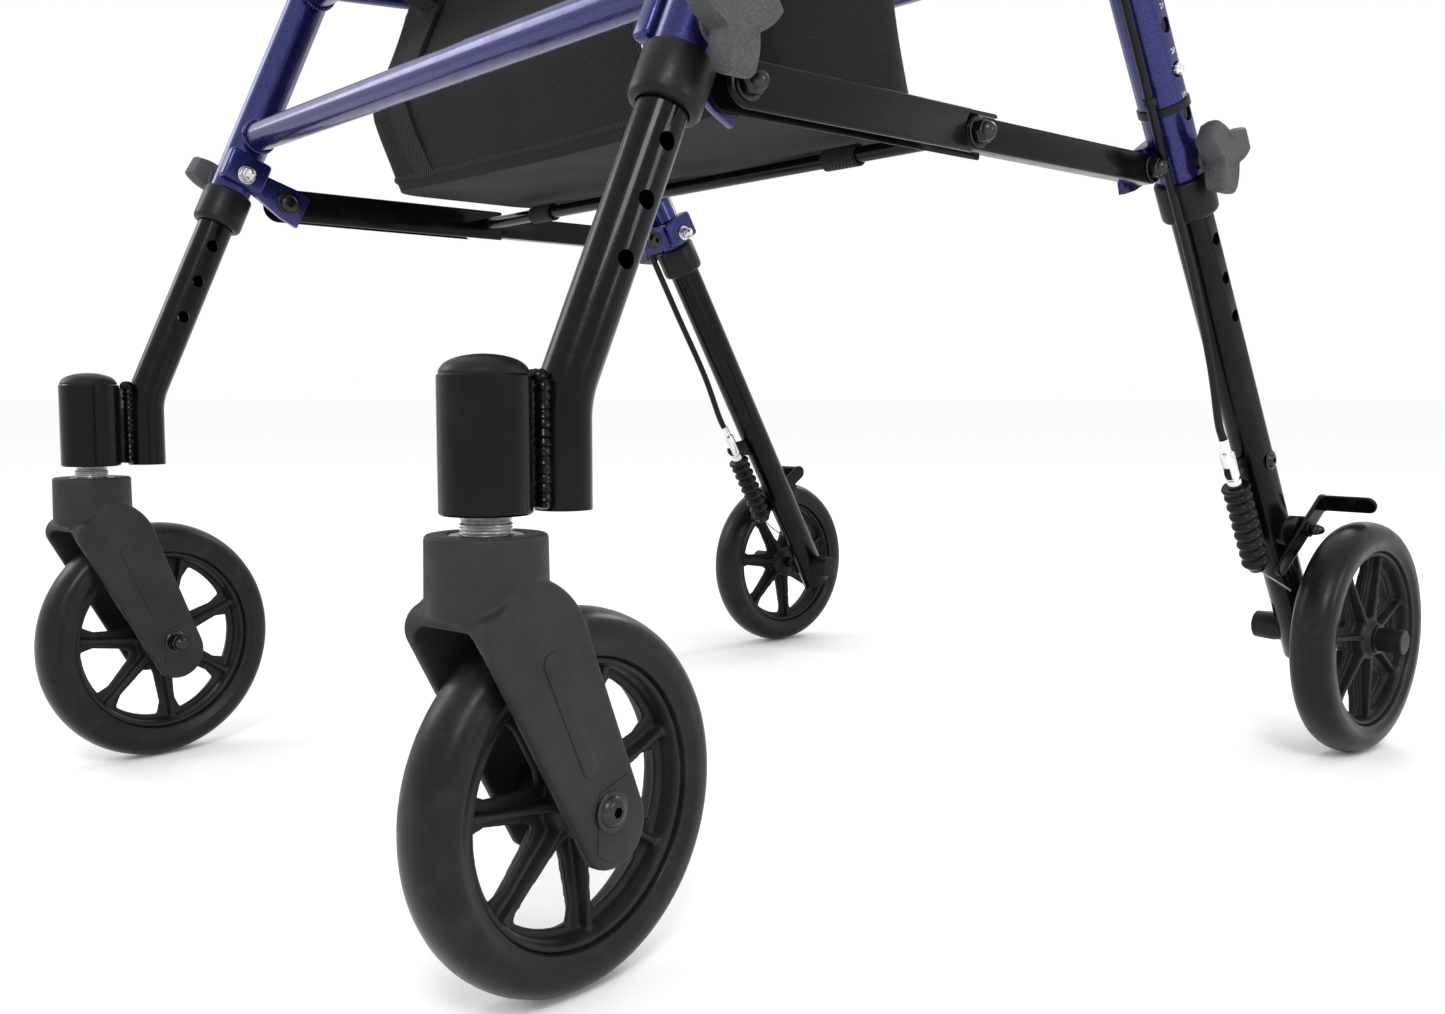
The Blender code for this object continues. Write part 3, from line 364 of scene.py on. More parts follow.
MATERIALS = {
    "blue": paint_blue(),
    "black": paint_black(),
    "satin": moulded("plastic_satin", (0.004, 0.004, 0.0045), (0.010, 0.010, 0.0105), 0.30, 0.48,
                     900.0, 0.12),
    "fork": moulded("plastic_grey", (0.0130, 0.0135, 0.0150), (0.0230, 0.0240, 0.0265), 0.48, 0.64,
                    1500.0, 0.3),
    "rim": moulded("plastic_rim", (0.0070, 0.0072, 0.0080), (0.0140, 0.0145, 0.0155), 0.38, 0.56,
                   1300.0, 0.2),
    "knob": speckled_grey(),
    "tyre": tyre_rubber(),
    "zinc": plated_steel("zinc_plate", (0.66, 0.67, 0.67), 0.24, 0.42, (1.0, 1.0, 9.0)),
    "chrome": plated_steel("chrome_plate", (0.80, 0.80, 0.81), 0.08, 0.18, (1.0, 1.0, 1.0)),
    "dark_steel": plated_steel("black_oxide", (0.045, 0.045, 0.048), 0.22, 0.40, (1.0, 1.0, 1.0)),
    "boot": moulded("boot_rubber", (0.003, 0.003, 0.0034), (0.007, 0.007, 0.0075), 0.20, 0.34, 600.0, 0.10),
    "grip": moulded("grip_rubber", (0.005, 0.005, 0.005), (0.011, 0.011, 0.0115), 0.62, 0.82, 1100.0, 0.4),
    "nylon": woven("nylon_weave", (0.0015, 0.0015, 0.0018), (0.0085, 0.0085, 0.0092), 0.0016, 0.04, 0.6),
    "webbing": woven("webbing_weave", (0.0015, 0.0015, 0.0018), (0.0110, 0.0110, 0.0120), 0.0026, 0.06, 0.8),
    "vinyl": leathercloth(),
    "foam": foam_rubber(),
    "ink": ink_white(),
}


# ---------------------------------------------------------------- mesh helpers
def make_object(name, mesh_data):
    """Wrap a bmesh in a named, shaded object; its faces are turned outwards."""
    bmesh.ops.recalc_face_normals(mesh_data, faces=mesh_data.faces)
    mesh = bpy.data.meshes.new(name)
    mesh_data.to_mesh(mesh)
    mesh_data.free()
    obj = bpy.data.objects.new(name, mesh)
    bpy.context.scene.collection.objects.link(obj)
    mesh.shade_smooth()
    mesh.set_sharp_from_angle(angle=radians(SHARP_ANGLE))
    return obj


def boolean(target, tools, operation):
    """Join or cut with the exact solver, then drop the tool objects."""
    for tool in tools:
        mod = target.modifiers.new(operation, 'BOOLEAN')
        mod.operation = operation
        mod.object = tool
        mod.solver = 'EXACT'
    applied(target)
    for tool in tools:
        bpy.data.objects.remove(tool, do_unlink=True)
    return target


def unite(target, *tools):
    return boolean(target, tools, 'UNION')


def cut(target, *tools):
    return boolean(target, tools, 'DIFFERENCE')


def rounded_path(points, radius, steps):
    """Points of a polyline whose corners are replaced by arcs."""
    pts = [Vector(p) for p in points]
    path = [pts[0]]
    for before, corner, after in zip(pts, pts[1:], pts[2:]):
        a = (before - corner).normalized()
        b = (after - corner).normalized()
        half = a.angle(b) / 2
        reach = min(radius / tan(half), (before - corner).length * 0.49,
                    (after - corner).length * 0.49)
        rad = reach * tan(half)
        centre = corner + (a + b).normalized() * (rad / sin(half))
        start = corner + a * reach - centre
        end = corner + b * reach - centre
        for i in range(steps + 1):
            path.append(centre + start.slerp(end, i / steps) * rad)
    path.append(pts[-1])
    return path


def ring_frames(path):
    """A centre, a tangent and two side vectors at each point of a path, without twist."""
    frames = []
    side = None
    for i, point in enumerate(path):
        ahead = path[min(i + 1, len(path) - 1)]
        behind = path[max(i - 1, 0)]
        tangent = (ahead - behind).normalized()
        if side is None:
            helper = Vector((1, 0, 0)) if abs(tangent.x) < 0.9 else Vector((0, 0, 1))
            side = tangent.cross(helper).normalized()
        side = (side - tangent * side.dot(tangent)).normalized()
        frames.append((point, side, tangent.cross(side)))
    return frames


def add_rings(mesh_data, frames, radius, sides):
    rings = []
    for point, side, other in frames:
        ring = []
        for k in range(sides):
            angle = 2 * pi * k / sides
            ring.append(mesh_data.verts.new(point + radius * (cos(angle) * side + sin(angle) * other)))
        rings.append(ring)
    return rings


def bridge(mesh_data, ring_a, ring_b):
    count = len(ring_a)
    for k in range(count):
        nxt = (k + 1) % count
        mesh_data.faces.new((ring_a[k], ring_a[nxt], ring_b[nxt], ring_b[k]))


def bridge_all(mesh_data, rings):
    for ring_a, ring_b in zip(rings, rings[1:]):
        bridge(mesh_data, ring_a, ring_b)


def loft(mesh_data, rings):
    """A closed skin through a row of rings, with a face on each end."""
    bridge_all(mesh_data, rings)
    mesh_data.faces.new(rings[0])
    mesh_data.faces.new(rings[-1])


def tube(name, points, outer, bore=0.0, bend=0.03, sides=48, steps=14):
    """A round tube or rod along a line whose corners are bent to a radius."""
    return swept(name, rounded_path(points, bend, steps), outer, bore, sides)


def swept(name, path, outer, bore=0.0, sides=48):
    """A round tube or rod through the points of a path; with a bore it is open right through."""
    frames = ring_frames(path)
    mesh_data = bmesh.new()
    outside = add_rings(mesh_data, frames, outer, sides)
    if bore > 0:
        bridge_all(mesh_data, outside)
        inside = add_rings(mesh_data, frames, bore, sides)
        for ring_a, ring_b in zip(inside, inside[1:]):
            bridge(mesh_data, ring_b, ring_a)
        bridge(mesh_data, outside[0], inside[0])
        bridge(mesh_data, outside[-1], inside[-1])
    else:
        loft(mesh_data, outside)
    return make_object(name, mesh_data)


def skin(name, rings):
    """A closed solid through a row of rings of points."""
    mesh_data = bmesh.new()
    loft(mesh_data, [[mesh_data.verts.new(point) for point in ring] for ring in rings])
    return make_object(name, mesh_data)


def axis_frame(axis):
    """The unit direction of an axis and two side vectors square to it."""
    direction = Vector(axis).normalized()
    helper = Vector((0, 0, 1)) if abs(direction.z) < 0.9 else Vector((1, 0, 0))
    side = direction.cross(helper).normalized()
    return direction, side, direction.cross(side)


def turned_rings(mesh_data, profile, centre, axis, sides):
    direction, side, other = axis_frame(axis)
    rings = []
    for along, radius in profile:
        point = Vector(centre) + direction * along
        rings += add_rings(mesh_data, [(point, side, other)], radius, sides)
    return rings


def turned(name, profile, centre, axis, sides=48):
    """A solid turned about an axis; profile pairs are (distance along the axis, radius)."""
    mesh_data = bmesh.new()
    loft(mesh_data, turned_rings(mesh_data, profile, centre, axis, sides))
    return make_object(name, mesh_data)


def turned_ring(name, profile, centre, axis, sides=48):
    """A closed ring turned about an axis; the profile is a closed loop."""
    mesh_data = bmesh.new()
    rings = turned_rings(mesh_data, profile, centre, axis, sides)
    bridge_all(mesh_data, rings + rings[:1])
    return make_object(name, mesh_data)


def dome(base, height, radius, count, parts):
    """Profile points rising from a dome's rim, each a further pi / parts of the way round."""
    points = []
    for k in range(1, count + 1):
        angle = k * pi / parts
        points.append((base + height * sin(angle), radius * cos(angle)))
    return points


def prism(name, bottom, top):
    """A solid between two outlines that have the same number of points."""
    mesh_data = bmesh.new()
    low = [mesh_data.verts.new(point) for point in bottom]
    high = [mesh_data.verts.new(point) for point in top]
    mesh_data.faces.new(low)
    mesh_data.faces.new(high)
    bridge(mesh_data, low, high)
    return make_object(name, mesh_data)


def slab(name, outline, x_low, x_high):
    """A flat plate in the YZ plane, extruded from x_low to x_high."""
    return prism(name, [(x_low, y, z) for y, z in outline], [(x_high, y, z) for y, z in outline])


def box(name, low, high):
    mesh_data = bmesh.new()
    bmesh.ops.create_cube(mesh_data, size=1.0)
    size = Vector(high) - Vector(low)
    middle = (Vector(high) + Vector(low)) / 2
    for vert in mesh_data.verts:
        vert.co = Vector([vert.co[i] * size[i] for i in range(3)]) + middle
    return make_object(name, mesh_data)


def arc(centre, radius, start, end, steps):
    """Points of an arc; angles in degrees."""
    points = []
    for i in range(steps + 1):
        angle = radians(start + (end - start) * i / steps)
        points.append((centre[0] + radius * cos(angle), centre[1] + radius * sin(angle)))
    return points


def tapered_bar(end_a, radius_a, end_b, radius_b, steps=7):
    """Outline of a bar with two round ends of different radius."""
    dy = end_b[0] - end_a[0]
    dz = end_b[1] - end_a[1]
    heading = atan2(dz, dy) * 180 / pi
    outline = arc(end_b, radius_b, heading - 90, heading + 90, steps)
    outline += arc(end_a, radius_a, heading + 90, heading + 270, steps)
    return outline


def strip(end_a, end_b, root, half_width, beyond):
    """Outline of a straight strip from end_a, square-ended a little beyond end_b."""
    a = Vector((end_a[0], end_a[1]))
    b = Vector((end_b[0], end_b[1]))
    along = (b - a).normalized()
    side = Vector((-along.y, along.x))
    tip = b + along * beyond
    corners = (a - side * root, b - side * half_width, tip - side * half_width,
               tip + side * half_width, b + side * half_width, a + side * root)
    return [(c.x, c.y) for c in corners]


def smooth_points(points, per_span):
    """Points of a Catmull-Rom curve through the given ones."""
    out = []
    last = len(points) - 1
    for i in range(last):
        p0 = points[max(i - 1, 0)]
        p1 = points[i]
        p2 = points[i + 1]
        p3 = points[min(i + 2, last)]
        for k in range(per_span):
            t = k / per_span
            out.append(0.5 * ((2 * p1) + (p2 - p0) * t + (2 * p0 - 5 * p1 + 4 * p2 - p3) * t * t +
                              (3 * p1 - p0 - 3 * p2 + p3) * t * t * t))
    out.append(points[last])
    return out


# ---------------------------------------------------------------- leg lines
def front_y(z):
    return LEG_BEND[0] + tan(FRONT_LEAN) * (z - LEG_BEND[1])


def rear_y(z):
    return REAR_AXLE[0] - tan(REAR_LEAN) * (z - REAR_AXLE[1])


FRONT_DIR = Vector((0, sin(FRONT_LEAN), cos(FRONT_LEAN)))
REAR_DIR = Vector((0, -sin(REAR_LEAN), cos(REAR_LEAN)))


def on_front(z, along=0.0, x=TRACK_X):
    return Vector((x, front_y(z), z)) + FRONT_DIR * along


def on_rear(z, along=0.0, x=TRACK_X):
    return Vector((x, rear_y(z), z)) + REAR_DIR * along


# ---------------------------------------------------------------- placing pieces
def dress(obj, finish):
    """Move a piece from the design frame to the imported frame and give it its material."""
    obj.data.transform(Matrix.Translation((0, CENTRE_SHIFT, 0)))
    obj.data.materials.clear()
    obj.data.materials.append(MATERIALS[finish])


def place(obj, body, finish, *nodes):
    """Finish a piece, tie it to its body and let it stand for the CAD nodes named."""
    dress(obj, finish)
    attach(obj, body)
    if nodes:
        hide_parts(*nodes)
    return obj


def reflected(obj, name):
    """A copy of a piece, mirrored in the plane between the two sides."""
    mesh = obj.data.copy()
    mesh.transform(MIRROR)
    mesh.flip_normals()
    copy = bpy.data.objects.new(name, mesh)
    bpy.context.scene.collection.objects.link(copy)
    return copy


def place_pair(obj, body, finish, *nodes):
    """Place a +X piece and its reflection; names, bodies and nodes are given without their side."""
    obj.name = obj.name + "_left"
    other = reflected(obj, obj.name.replace("_left", "_right"))
    for piece, side in zip((obj, other), SIDES):
        own_body = body if body in MIDDLE_BODIES else body + "_" + side
        place(piece, own_body, finish, *(node + "_" + side for node in nodes))


def rounded(obj, width=0.0006, segments=2, angle=35):
    """Soften the sharp edges of a hard piece, then keep the result."""
    mod = obj.modifiers.new("edges", 'BEVEL')
    mod.width = width
    mod.segments = segments
    mod.limit_method = 'ANGLE'
    mod.angle_limit = radians(angle)
    return applied(obj)


def moulded_solid(obj, cell, smoothing):
    """Melt a joined solid into one smooth moulding."""
    mod = obj.modifiers.new("remesh", 'REMESH')
    mod.mode = 'VOXEL'
    mod.voxel_size = cell
    mod.use_smooth_shade = True
    mod = obj.modifiers.new("smooth", 'SMOOTH')
    mod.factor = 0.5
    mod.iterations = smoothing
    return applied(obj, angle=80)


def applied(obj, angle=SHARP_ANGLE):
    """Keep what a piece's modifiers make of it, with edges sharper than the angle left sharp."""
    bpy.context.view_layer.update()
    graph = bpy.context.evaluated_depsgraph_get()
    mesh = bpy.data.meshes.new_from_object(obj.evaluated_get(graph))
    obj.modifiers.clear()
    obj.data = mesh
    mesh.shade_smooth()
    mesh.set_sharp_from_angle(angle=radians(angle))
    return obj


def joined(name, *parts):
    """Several loose meshes as one piece."""
    mesh_data = bmesh.new()
    for part in parts:
        mesh_data.from_mesh(part.data)
        bpy.data.objects.remove(part, do_unlink=True)
    return make_object(name, mesh_data)


# ---------------------------------------------------------------- small shared details
def weld_bead(name, path, radius, pitch=0.0022, lift=0.30):
    """A rippled bead of overlapping scales laid along a path."""
    points = [Vector(p) for p in path]
    dense = []
    for a, b in zip(points, points[1:]):
        count = max(int((b - a).length / (pitch / 4)), 1)
        dense += [a.lerp(b, i / count) for i in range(count)]
    dense.append(points[-1])
    frames = ring_frames(dense)
    mesh_data = bmesh.new()
    rings = []
    travelled = 0.0
    for i, (point, side, other) in enumerate(frames):
        if i:
            travelled += (point - frames[i - 1][0]).length
        phase = (travelled / pitch) % 1.0
        swell = radius * (1.0 - lift + lift * (1.0 - phase) ** 0.6)
        swell *= 1.0 + random.uniform(-0.07, 0.07)
        if i in (0, len(frames) - 1):
            swell *= 0.45
        rings += add_rings(mesh_data, [(point, side, other)], swell, 12)
    loft(mesh_data, rings)
    return make_object(name, mesh_data)


def weld_ring(name, centre, axis, ring_r, bead_r):
    """A weld bead laid once round an axis."""
    _, side, other = axis_frame(axis)
    count = 40
    path = []
    for k in range(count + 1):
        angle = 2 * pi * k / count
        path.append(Vector(centre) + ring_r * (cos(angle) * side + sin(angle) * other))
    return weld_bead(name, path, bead_r)


def acorn_nut(name, centre, axis, size=0.0062):
    """Washer, hexagon and dome standing on a face, along the axis."""
    washer = turned_ring("washer", ((0.0, 0.0030), (0.0, size * 1.24), (0.0009, size * 1.28),
                                    (0.0013, size * 1.20), (0.0013, 0.0030)), centre, axis, sides=36)
    base = Vector(centre) + Vector(axis) * 0.0013
    nut = turned("nut", ((0.0, size * 0.93), (0.0006, size), (0.0040, size), (0.0046, size * 0.93)),
                 base, axis, sides=6)
    rounded(nut, 0.0003, 2, 25)
    profile = [(0.0044, size * 0.80)] + dome(0.0044, 0.0046, size * 0.80, 7, 16)
    cap = turned("cap", profile, base, axis, sides=32)
    return joined(name, washer, nut, cap)


def socket_bolt(name, centre, axis, radius=0.0062):
    """Button head with a hexagon socket, on a washer."""
    profile = [(0.0, radius)]
    for k in range(1, 8):
        angle = k * pi / 16
        profile.append((radius * 0.55 * sin(angle), radius * (0.40 + 0.60 * cos(angle))))
    head = turned("head", profile, centre, axis, sides=40)
    drive_cut = turned("drive", ((radius * 0.18, radius * 0.36), (radius, radius * 0.36)), centre, axis,
                       sides=6)
    cut(head, drive_cut)
    ring = turned_ring("washer", ((0.0, radius * 0.95), (0.0, radius * 1.25), (0.0006, radius * 1.28),
                                  (0.0009, radius * 1.18), (0.0009, radius * 0.90)), centre, axis,
                       sides=40)
    return joined(name, head, ring)


# ---------------------------------------------------------------- wheels
def tyre_shape(name, centre):
    """Tyre section with a full crown, a fine parting ridge and a step down to the wheel band."""
    half = TYRE_W / 2
    inner = WHEEL_R - TYRE_DEPTH
    crown = 14
    profile = [(-half * 0.80, inner), (-half * 0.87, inner + 0.0006), (-half * 0.90, inner + 0.0035),
               (-half * 0.985, inner + 0.0052)]
    middle = inner + 0.0075
    for k in range(crown + 1):
        angle = pi * k / crown
        profile.append((-half * cos(angle), middle + (WHEEL_R - middle) * sin(angle) ** 0.72))
    profile += [(half * 0.985, inner + 0.0052), (half * 0.90, inner + 0.0035),
                (half * 0.87, inner + 0.0006), (half * 0.80, inner)]
    return turned_ring(name, profile, centre, (1, 0, 0), sides=120)


def spoke_blade(centre, angle, reach, width, depth):
    """One tapering blade: (inner, outer) reach, half widths across and half depths along the axle."""
    radial = Vector((0, cos(angle), sin(angle)))
    across = Vector((0, -sin(angle), cos(angle)))
    rings = []
    for k in range(5):
        t = k / 4
        far = reach[0] + (reach[1] - reach[0]) * t
        flare = 1.0 + 0.9 * max(t - 0.8, 0) / 0.2 + 0.5 * max(0.15 - t, 0) / 0.15
        wide = (width[0] + (width[1] - width[0]) * t) * flare
        deep = depth[0] + (depth[1] - depth[0]) * t
        rings.append([Vector(centre) + radial * far + across * wide * sa + Vector((deep * sx, 0, 0))
                      for sx, sa in ((-1, -1), (1, -1), (1, 1), (-1, 1))])
    return skin("spoke", rings)


def wheel_shape(name, centre, hub_half):
    """Moulded wheel: band with an inner rib, hub, and seven spokes whose section is a cross."""
    band = WHEEL_R - TYRE_DEPTH - 0.0002
    half = RIM_W / 2
    outer = turned_ring("band", ((-half, band), (-half, band - 0.0022), (-half * 0.75, band - 0.0034),
                                 (-0.0018, band - 0.0040), (-0.0014, band - 0.0068),
                                 (0.0014, band - 0.0068), (0.0018, band - 0.0040),
                                 (half * 0.75, band - 0.0034), (half, band - 0.0022), (half, band)),
                        centre, (1, 0, 0), sides=112)
    hub = turned_ring("hub", ((-hub_half, 0.0046), (-hub_half, 0.0098), (-hub_half + 0.0008, 0.0106),
                              (-half * 0.95, 0.0118), (-half * 0.80, 0.0142), (half * 0.80, 0.0142),
                              (half * 0.95, 0.0118), (hub_half - 0.0008, 0.0106), (hub_half, 0.0098),
                              (hub_half, 0.0046)), centre, (1, 0, 0), sides=48)
    shapes = [outer, hub]
    for k in range(SPOKES):
        angle = 2 * pi * k / SPOKES + 0.35
        shapes.append(spoke_blade(centre, angle, (0.0110, band - 0.0030), (0.0015, 0.0010),
                                  (half * 0.92, half * 0.62)))
        shapes.append(spoke_blade(centre, angle, (0.0120, band - 0.0050), (0.0070, 0.0046),
                                  (0.0014, 0.0012)))
    return moulded_solid(joined(name, *shapes), 0.00075, 3)


def build_rear_wheels():
    centre = (REAR_WHEEL_X, REAR_AXLE[0], REAR_AXLE[1])
    place_pair(tyre_shape("tyre_rear", centre), "rear_wheel", "tyre", "rear_tyre")
    place_pair(wheel_shape("wheel_rear", centre, 0.0125), "rear_wheel", "rim", "rear_rim")
    start = TRACK_X + 0.0173
    end = REAR_WHEEL_X + 0.0300
    face = REAR_WHEEL_X + 0.0127
    axle = turned("axle_rear", ((0.0, 0.0041), (face - start, 0.0041), (face - start, 0.0094),
                                (face - start + 0.0012, 0.0096), (face - start + 0.0018, 0.0078),
                                (end - start - 0.0008, 0.0078), (end - start, 0.0070)),
                  (start, *REAR_AXLE), (1, 0, 0), sides=48)
    place_pair(axle, "rear_leg", "satin", "rear_axle")


# ---------------------------------------------------------------- casters
def caster_place(obj, side, body, finish, *nodes):
    """Carry a piece built about a swivel axis at the origin to its own side."""
    sign = SIDES[side]
    if sign < 0:
        obj.data.transform(MIRROR)
        obj.data.flip_normals()
    obj.data.transform(Matrix.Translation((sign * TRACK_X, SWIVEL_Y, 0)) @
                       Matrix.Rotation(SWIVEL_TURN, 4, 'Z'))
    place(obj, body + "_" + side, finish, *(node + "_" + side for node in nodes))


def fork_shape():
    """Moulded fork: round collar, arched crown with a rolled lip, and two tapering arms."""
    collar = turned("fork", ((0.0, 0.0230), (0.0292, 0.0226), (0.0300, 0.0219)), (0, 0, 0.1540),
                    (0, 0, 1), sides=72)
    outline = arc(ARM_END, ARM_END_R, -130, 18, 18)
    outline += arc((-0.0030, 0.1360), 0.0345, 12, 84, 14)
    outline += arc((-0.0110, 0.1490), 0.0095, 105, 205, 10)
    arms = slab("arms", outline, -FORK_OUTER, FORK_OUTER)
    rounded(arms, 0.0046, 6)
    unite(collar, arms)
    hollow_outline = [(-0.070, 0.050), (0.090, 0.050), (0.090, 0.1460)]
    hollow_outline += arc((0.0140, -0.0450), 0.2006, 78, 96, 10)
    hollow_outline += [(-0.070, 0.1380)]
    cavity = slab("cavity", hollow_outline, -FORK_INNER, FORK_INNER)
    rounded(cavity, 0.0078, 7)
    cut(collar, cavity)
    bore = turned("bore", ((0.0, 0.0140), (0.012, 0.0140)), (0, 0, 0.1815), (0, 0, 1), sides=48)
    cut(collar, bore)
    return moulded_solid(collar, 0.0008, 5)


def arm_pads():
    """Raised outlines moulded on the outside of an arm: a long slot shape and a round seat."""
    low = (TRAIL - 0.0105, WHEEL_R + 0.0190)
    high = (TRAIL - 0.0290, WHEEL_R + 0.0610)
    slot_pad = slab("pad", tapered_bar(low, 0.0040, high, 0.0044, steps=14), FORK_OUTER - 0.0006,
                    FORK_OUTER + 0.0005)
    outline = arc(ARM_END, ARM_END_R - 0.0040, -140, 22, 18)
    outline += [(TRAIL + 0.0090, WHEEL_R + 0.0125), (TRAIL - 0.0060, WHEEL_R + 0.0080)]
    seat_pad = slab("seat", outline, FORK_OUTER - 0.0006, FORK_OUTER + 0.0005)
    rounded(slot_pad, 0.0003, 2)
    rounded(seat_pad, 0.0003, 2)
    near = joined("fork_pads", slot_pad, seat_pad)
    return joined("fork_pads", near, reflected(near, "far_pads"))


def build_casters():
    hub = (0, TRAIL, WHEEL_R)
    for side in SIDES:
        tyre = tyre_shape("tyre_front_" + side, hub)
        caster_place(tyre, side, "front_wheel", "tyre", "front_tyre")
        wheel = wheel_shape("wheel_front_" + side, hub, FORK_INNER - 0.0006)
        caster_place(wheel, side, "front_wheel", "rim", "front_rim")
        fork = fork_shape()
        fork.name = "fork_" + side
        caster_place(fork, side, "caster", "fork", "caster_fork")
        pads = arm_pads()
        pads.name = "fork_pads_" + side
        caster_place(pads, side, "caster", "fork")
        build_caster_metal(side)


def build_caster_metal(side):
    """Threaded stem and its bearing ring, then the wheel bolt, its shank and its capped nut."""
    profile = [(0.0, 0.0098)]
    pitch = 0.0012
    for k in range(22):
        z = 0.0040 + k * pitch
        profile += [(z, 0.0098), (z + pitch * 0.5, 0.0090)]
    profile.append((0.0322, 0.0098))
    stem = turned("stem_" + side, profile, (0, 0, 0.1585), (0, 0, 1), sides=48)
    caster_place(stem, side, "caster", "zinc", "caster_stem")
    bearing = turned_ring("bearing_" + side, ((0.0, 0.0100), (0.0, 0.0142), (0.0020, 0.0142),
                                              (0.0026, 0.0132), (0.0026, 0.0100)),
                          (0, 0, 0.1812), (0, 0, 1), sides=56)
    caster_place(bearing, side, "caster", "dark_steel")
    reach = FORK_OUTER + 0.0006
    bolt = socket_bolt("axle_bolt_" + side, (reach, TRAIL, WHEEL_R), (1, 0, 0), 0.0064)
    caster_place(bolt, side, "caster", "dark_steel")
    shank = turned("axle_shank_" + side, ((-reach, 0.0039), (reach, 0.0039)), (0, TRAIL, WHEEL_R),
                   (1, 0, 0), sides=32)
    caster_place(shank, side, "caster", "zinc", "caster_axle")
    cap = acorn_nut("axle_nut_" + side, (-reach + 0.0004, TRAIL, WHEEL_R), (-1, 0, 0), 0.0056)
    caster_place(cap, side, "caster", "dark_steel")


# ---------------------------------------------------------------- front frame
def front_leg_shape():
    """Blue tube with its knob saddle and the square-ended ear for the folding link."""
    base = on_front(FRONT_COLLAR_Z)
    top = on_front(FRONT_TOP_Z)
    leg = tube("front_tube", (base, top), OUTER_R)
    knob = on_front(FRONT_KNOB_Z)
    saddle = box("saddle", (-0.0065, -0.0142, -0.0072), (0.0040, 0.0142, 0.0142))
    rounded(saddle, 0.0026, 4)
    saddle.data.transform(Matrix.Translation((TRACK_X - OUTER_R, knob.y, knob.z)) @
                          Matrix.Rotation(-FRONT_LEAN, 4, 'X'))
    ear_face = LINK_X - CHANNEL_W / 2 - 0.0003
    ear = slab("ear", strip((knob.y, knob.z), P1, 0.0060, 0.0112, 0.0118), ear_face - 0.0038, ear_face)
    unite(leg, saddle, ear)
    bore = tube("bore", (base - FRONT_DIR * 0.01, top + FRONT_DIR * 0.01), INNER_R + SLIDE_GAP)
    cut(leg, bore)
    for step in range(5):
        centre = on_front(HANDLE_KNOB_Z) + FRONT_DIR * (step - 2) * HOLE_PITCH * 0.8
        cut(leg, side_hole(TRACK_X, centre, HOLE_R * 0.9))
    return rounded(leg, 0.0006, 2)


def side_hole(x_from, centre, radius, depth=0.03):
    """A cutter for a round hole through the outer wall of a leg."""
    return turned("cutter", ((0.0, radius), (depth, radius)), (x_from, centre.y, centre.z), (1, 0, 0),
                  sides=28)


def through_hole(centre, radius):
    return side_hole(TRACK_X - 0.03, centre, radius, 0.06)


def collar_shape(name, mouth, direction, outer_r, bore):
    """Moulded sleeve with a rolled foot and a lip over the blue tube."""
    base = mouth - direction * COLLAR_BELOW
    height = COLLAR_BELOW + COLLAR_ABOVE
    step = COLLAR_BELOW - 0.0003
    wall = outer_r + COLLAR_WALL
    profile = ((0.0, bore), (0.0, wall - 0.0022), (0.0007, wall - 0.0010), (0.0020, wall - 0.0002),
               (0.0040, wall), (height - 0.0016, wall), (height - 0.0004, wall - 0.0006),
               (height, wall - 0.0014), (height, outer_r + 0.0003), (step, outer_r + 0.0003), (step, bore))
    return turned_ring(name, profile, base, direction, sides=72)


def knob_reach(angle):
    """Share of the full radius at an angle: three flat-ended wings with hollow flanks between."""
    third = 2 * pi / 3
    away = pi / 3 - abs((angle + pi / 2) % third - pi / 3)
    if away < KNOB_WING:
        return cos(KNOB_WING) / cos(away)
    flank = (away - KNOB_WING) / (pi / 3 - KNOB_WING)
    return 0.46 + 0.54 * (1.0 - flank) ** 1.6


def knob_shape(name, centre, outer_r):
    """Three-lobed moulded knob: speckled face, sunken middle, and a boss against the leg."""
    steps = 144
    inner_x = centre.x + outer_r + 0.0048
    layers = ((0.0, 0.0100, 0.0), (0.0022, 0.0108, 0.0), (0.0026, 0.0180, 1.0), (0.0036, 0.0205, 1.0),
              (0.0090, 0.0228, 1.0), (0.0128, 0.0230, 1.0), (0.0146, 0.0222, 1.0), (0.0157, 0.0205, 1.0),
              (0.0159, 0.0180, 1.0), (0.0150, 0.0140, 0.8), (0.0146, 0.0060, 0.0))
    rings = []
    for depth, size, lobed in layers:
        ring = []
        for k in range(steps):
            angle = 2 * pi * k / steps
            radius = size * (1.0 - lobed * (1.0 - knob_reach(angle)))
            ring.append((inner_x + depth, centre.y + radius * cos(angle), centre.z + radius * sin(angle)))
        rings.append(ring)
    return skin(name, rings)


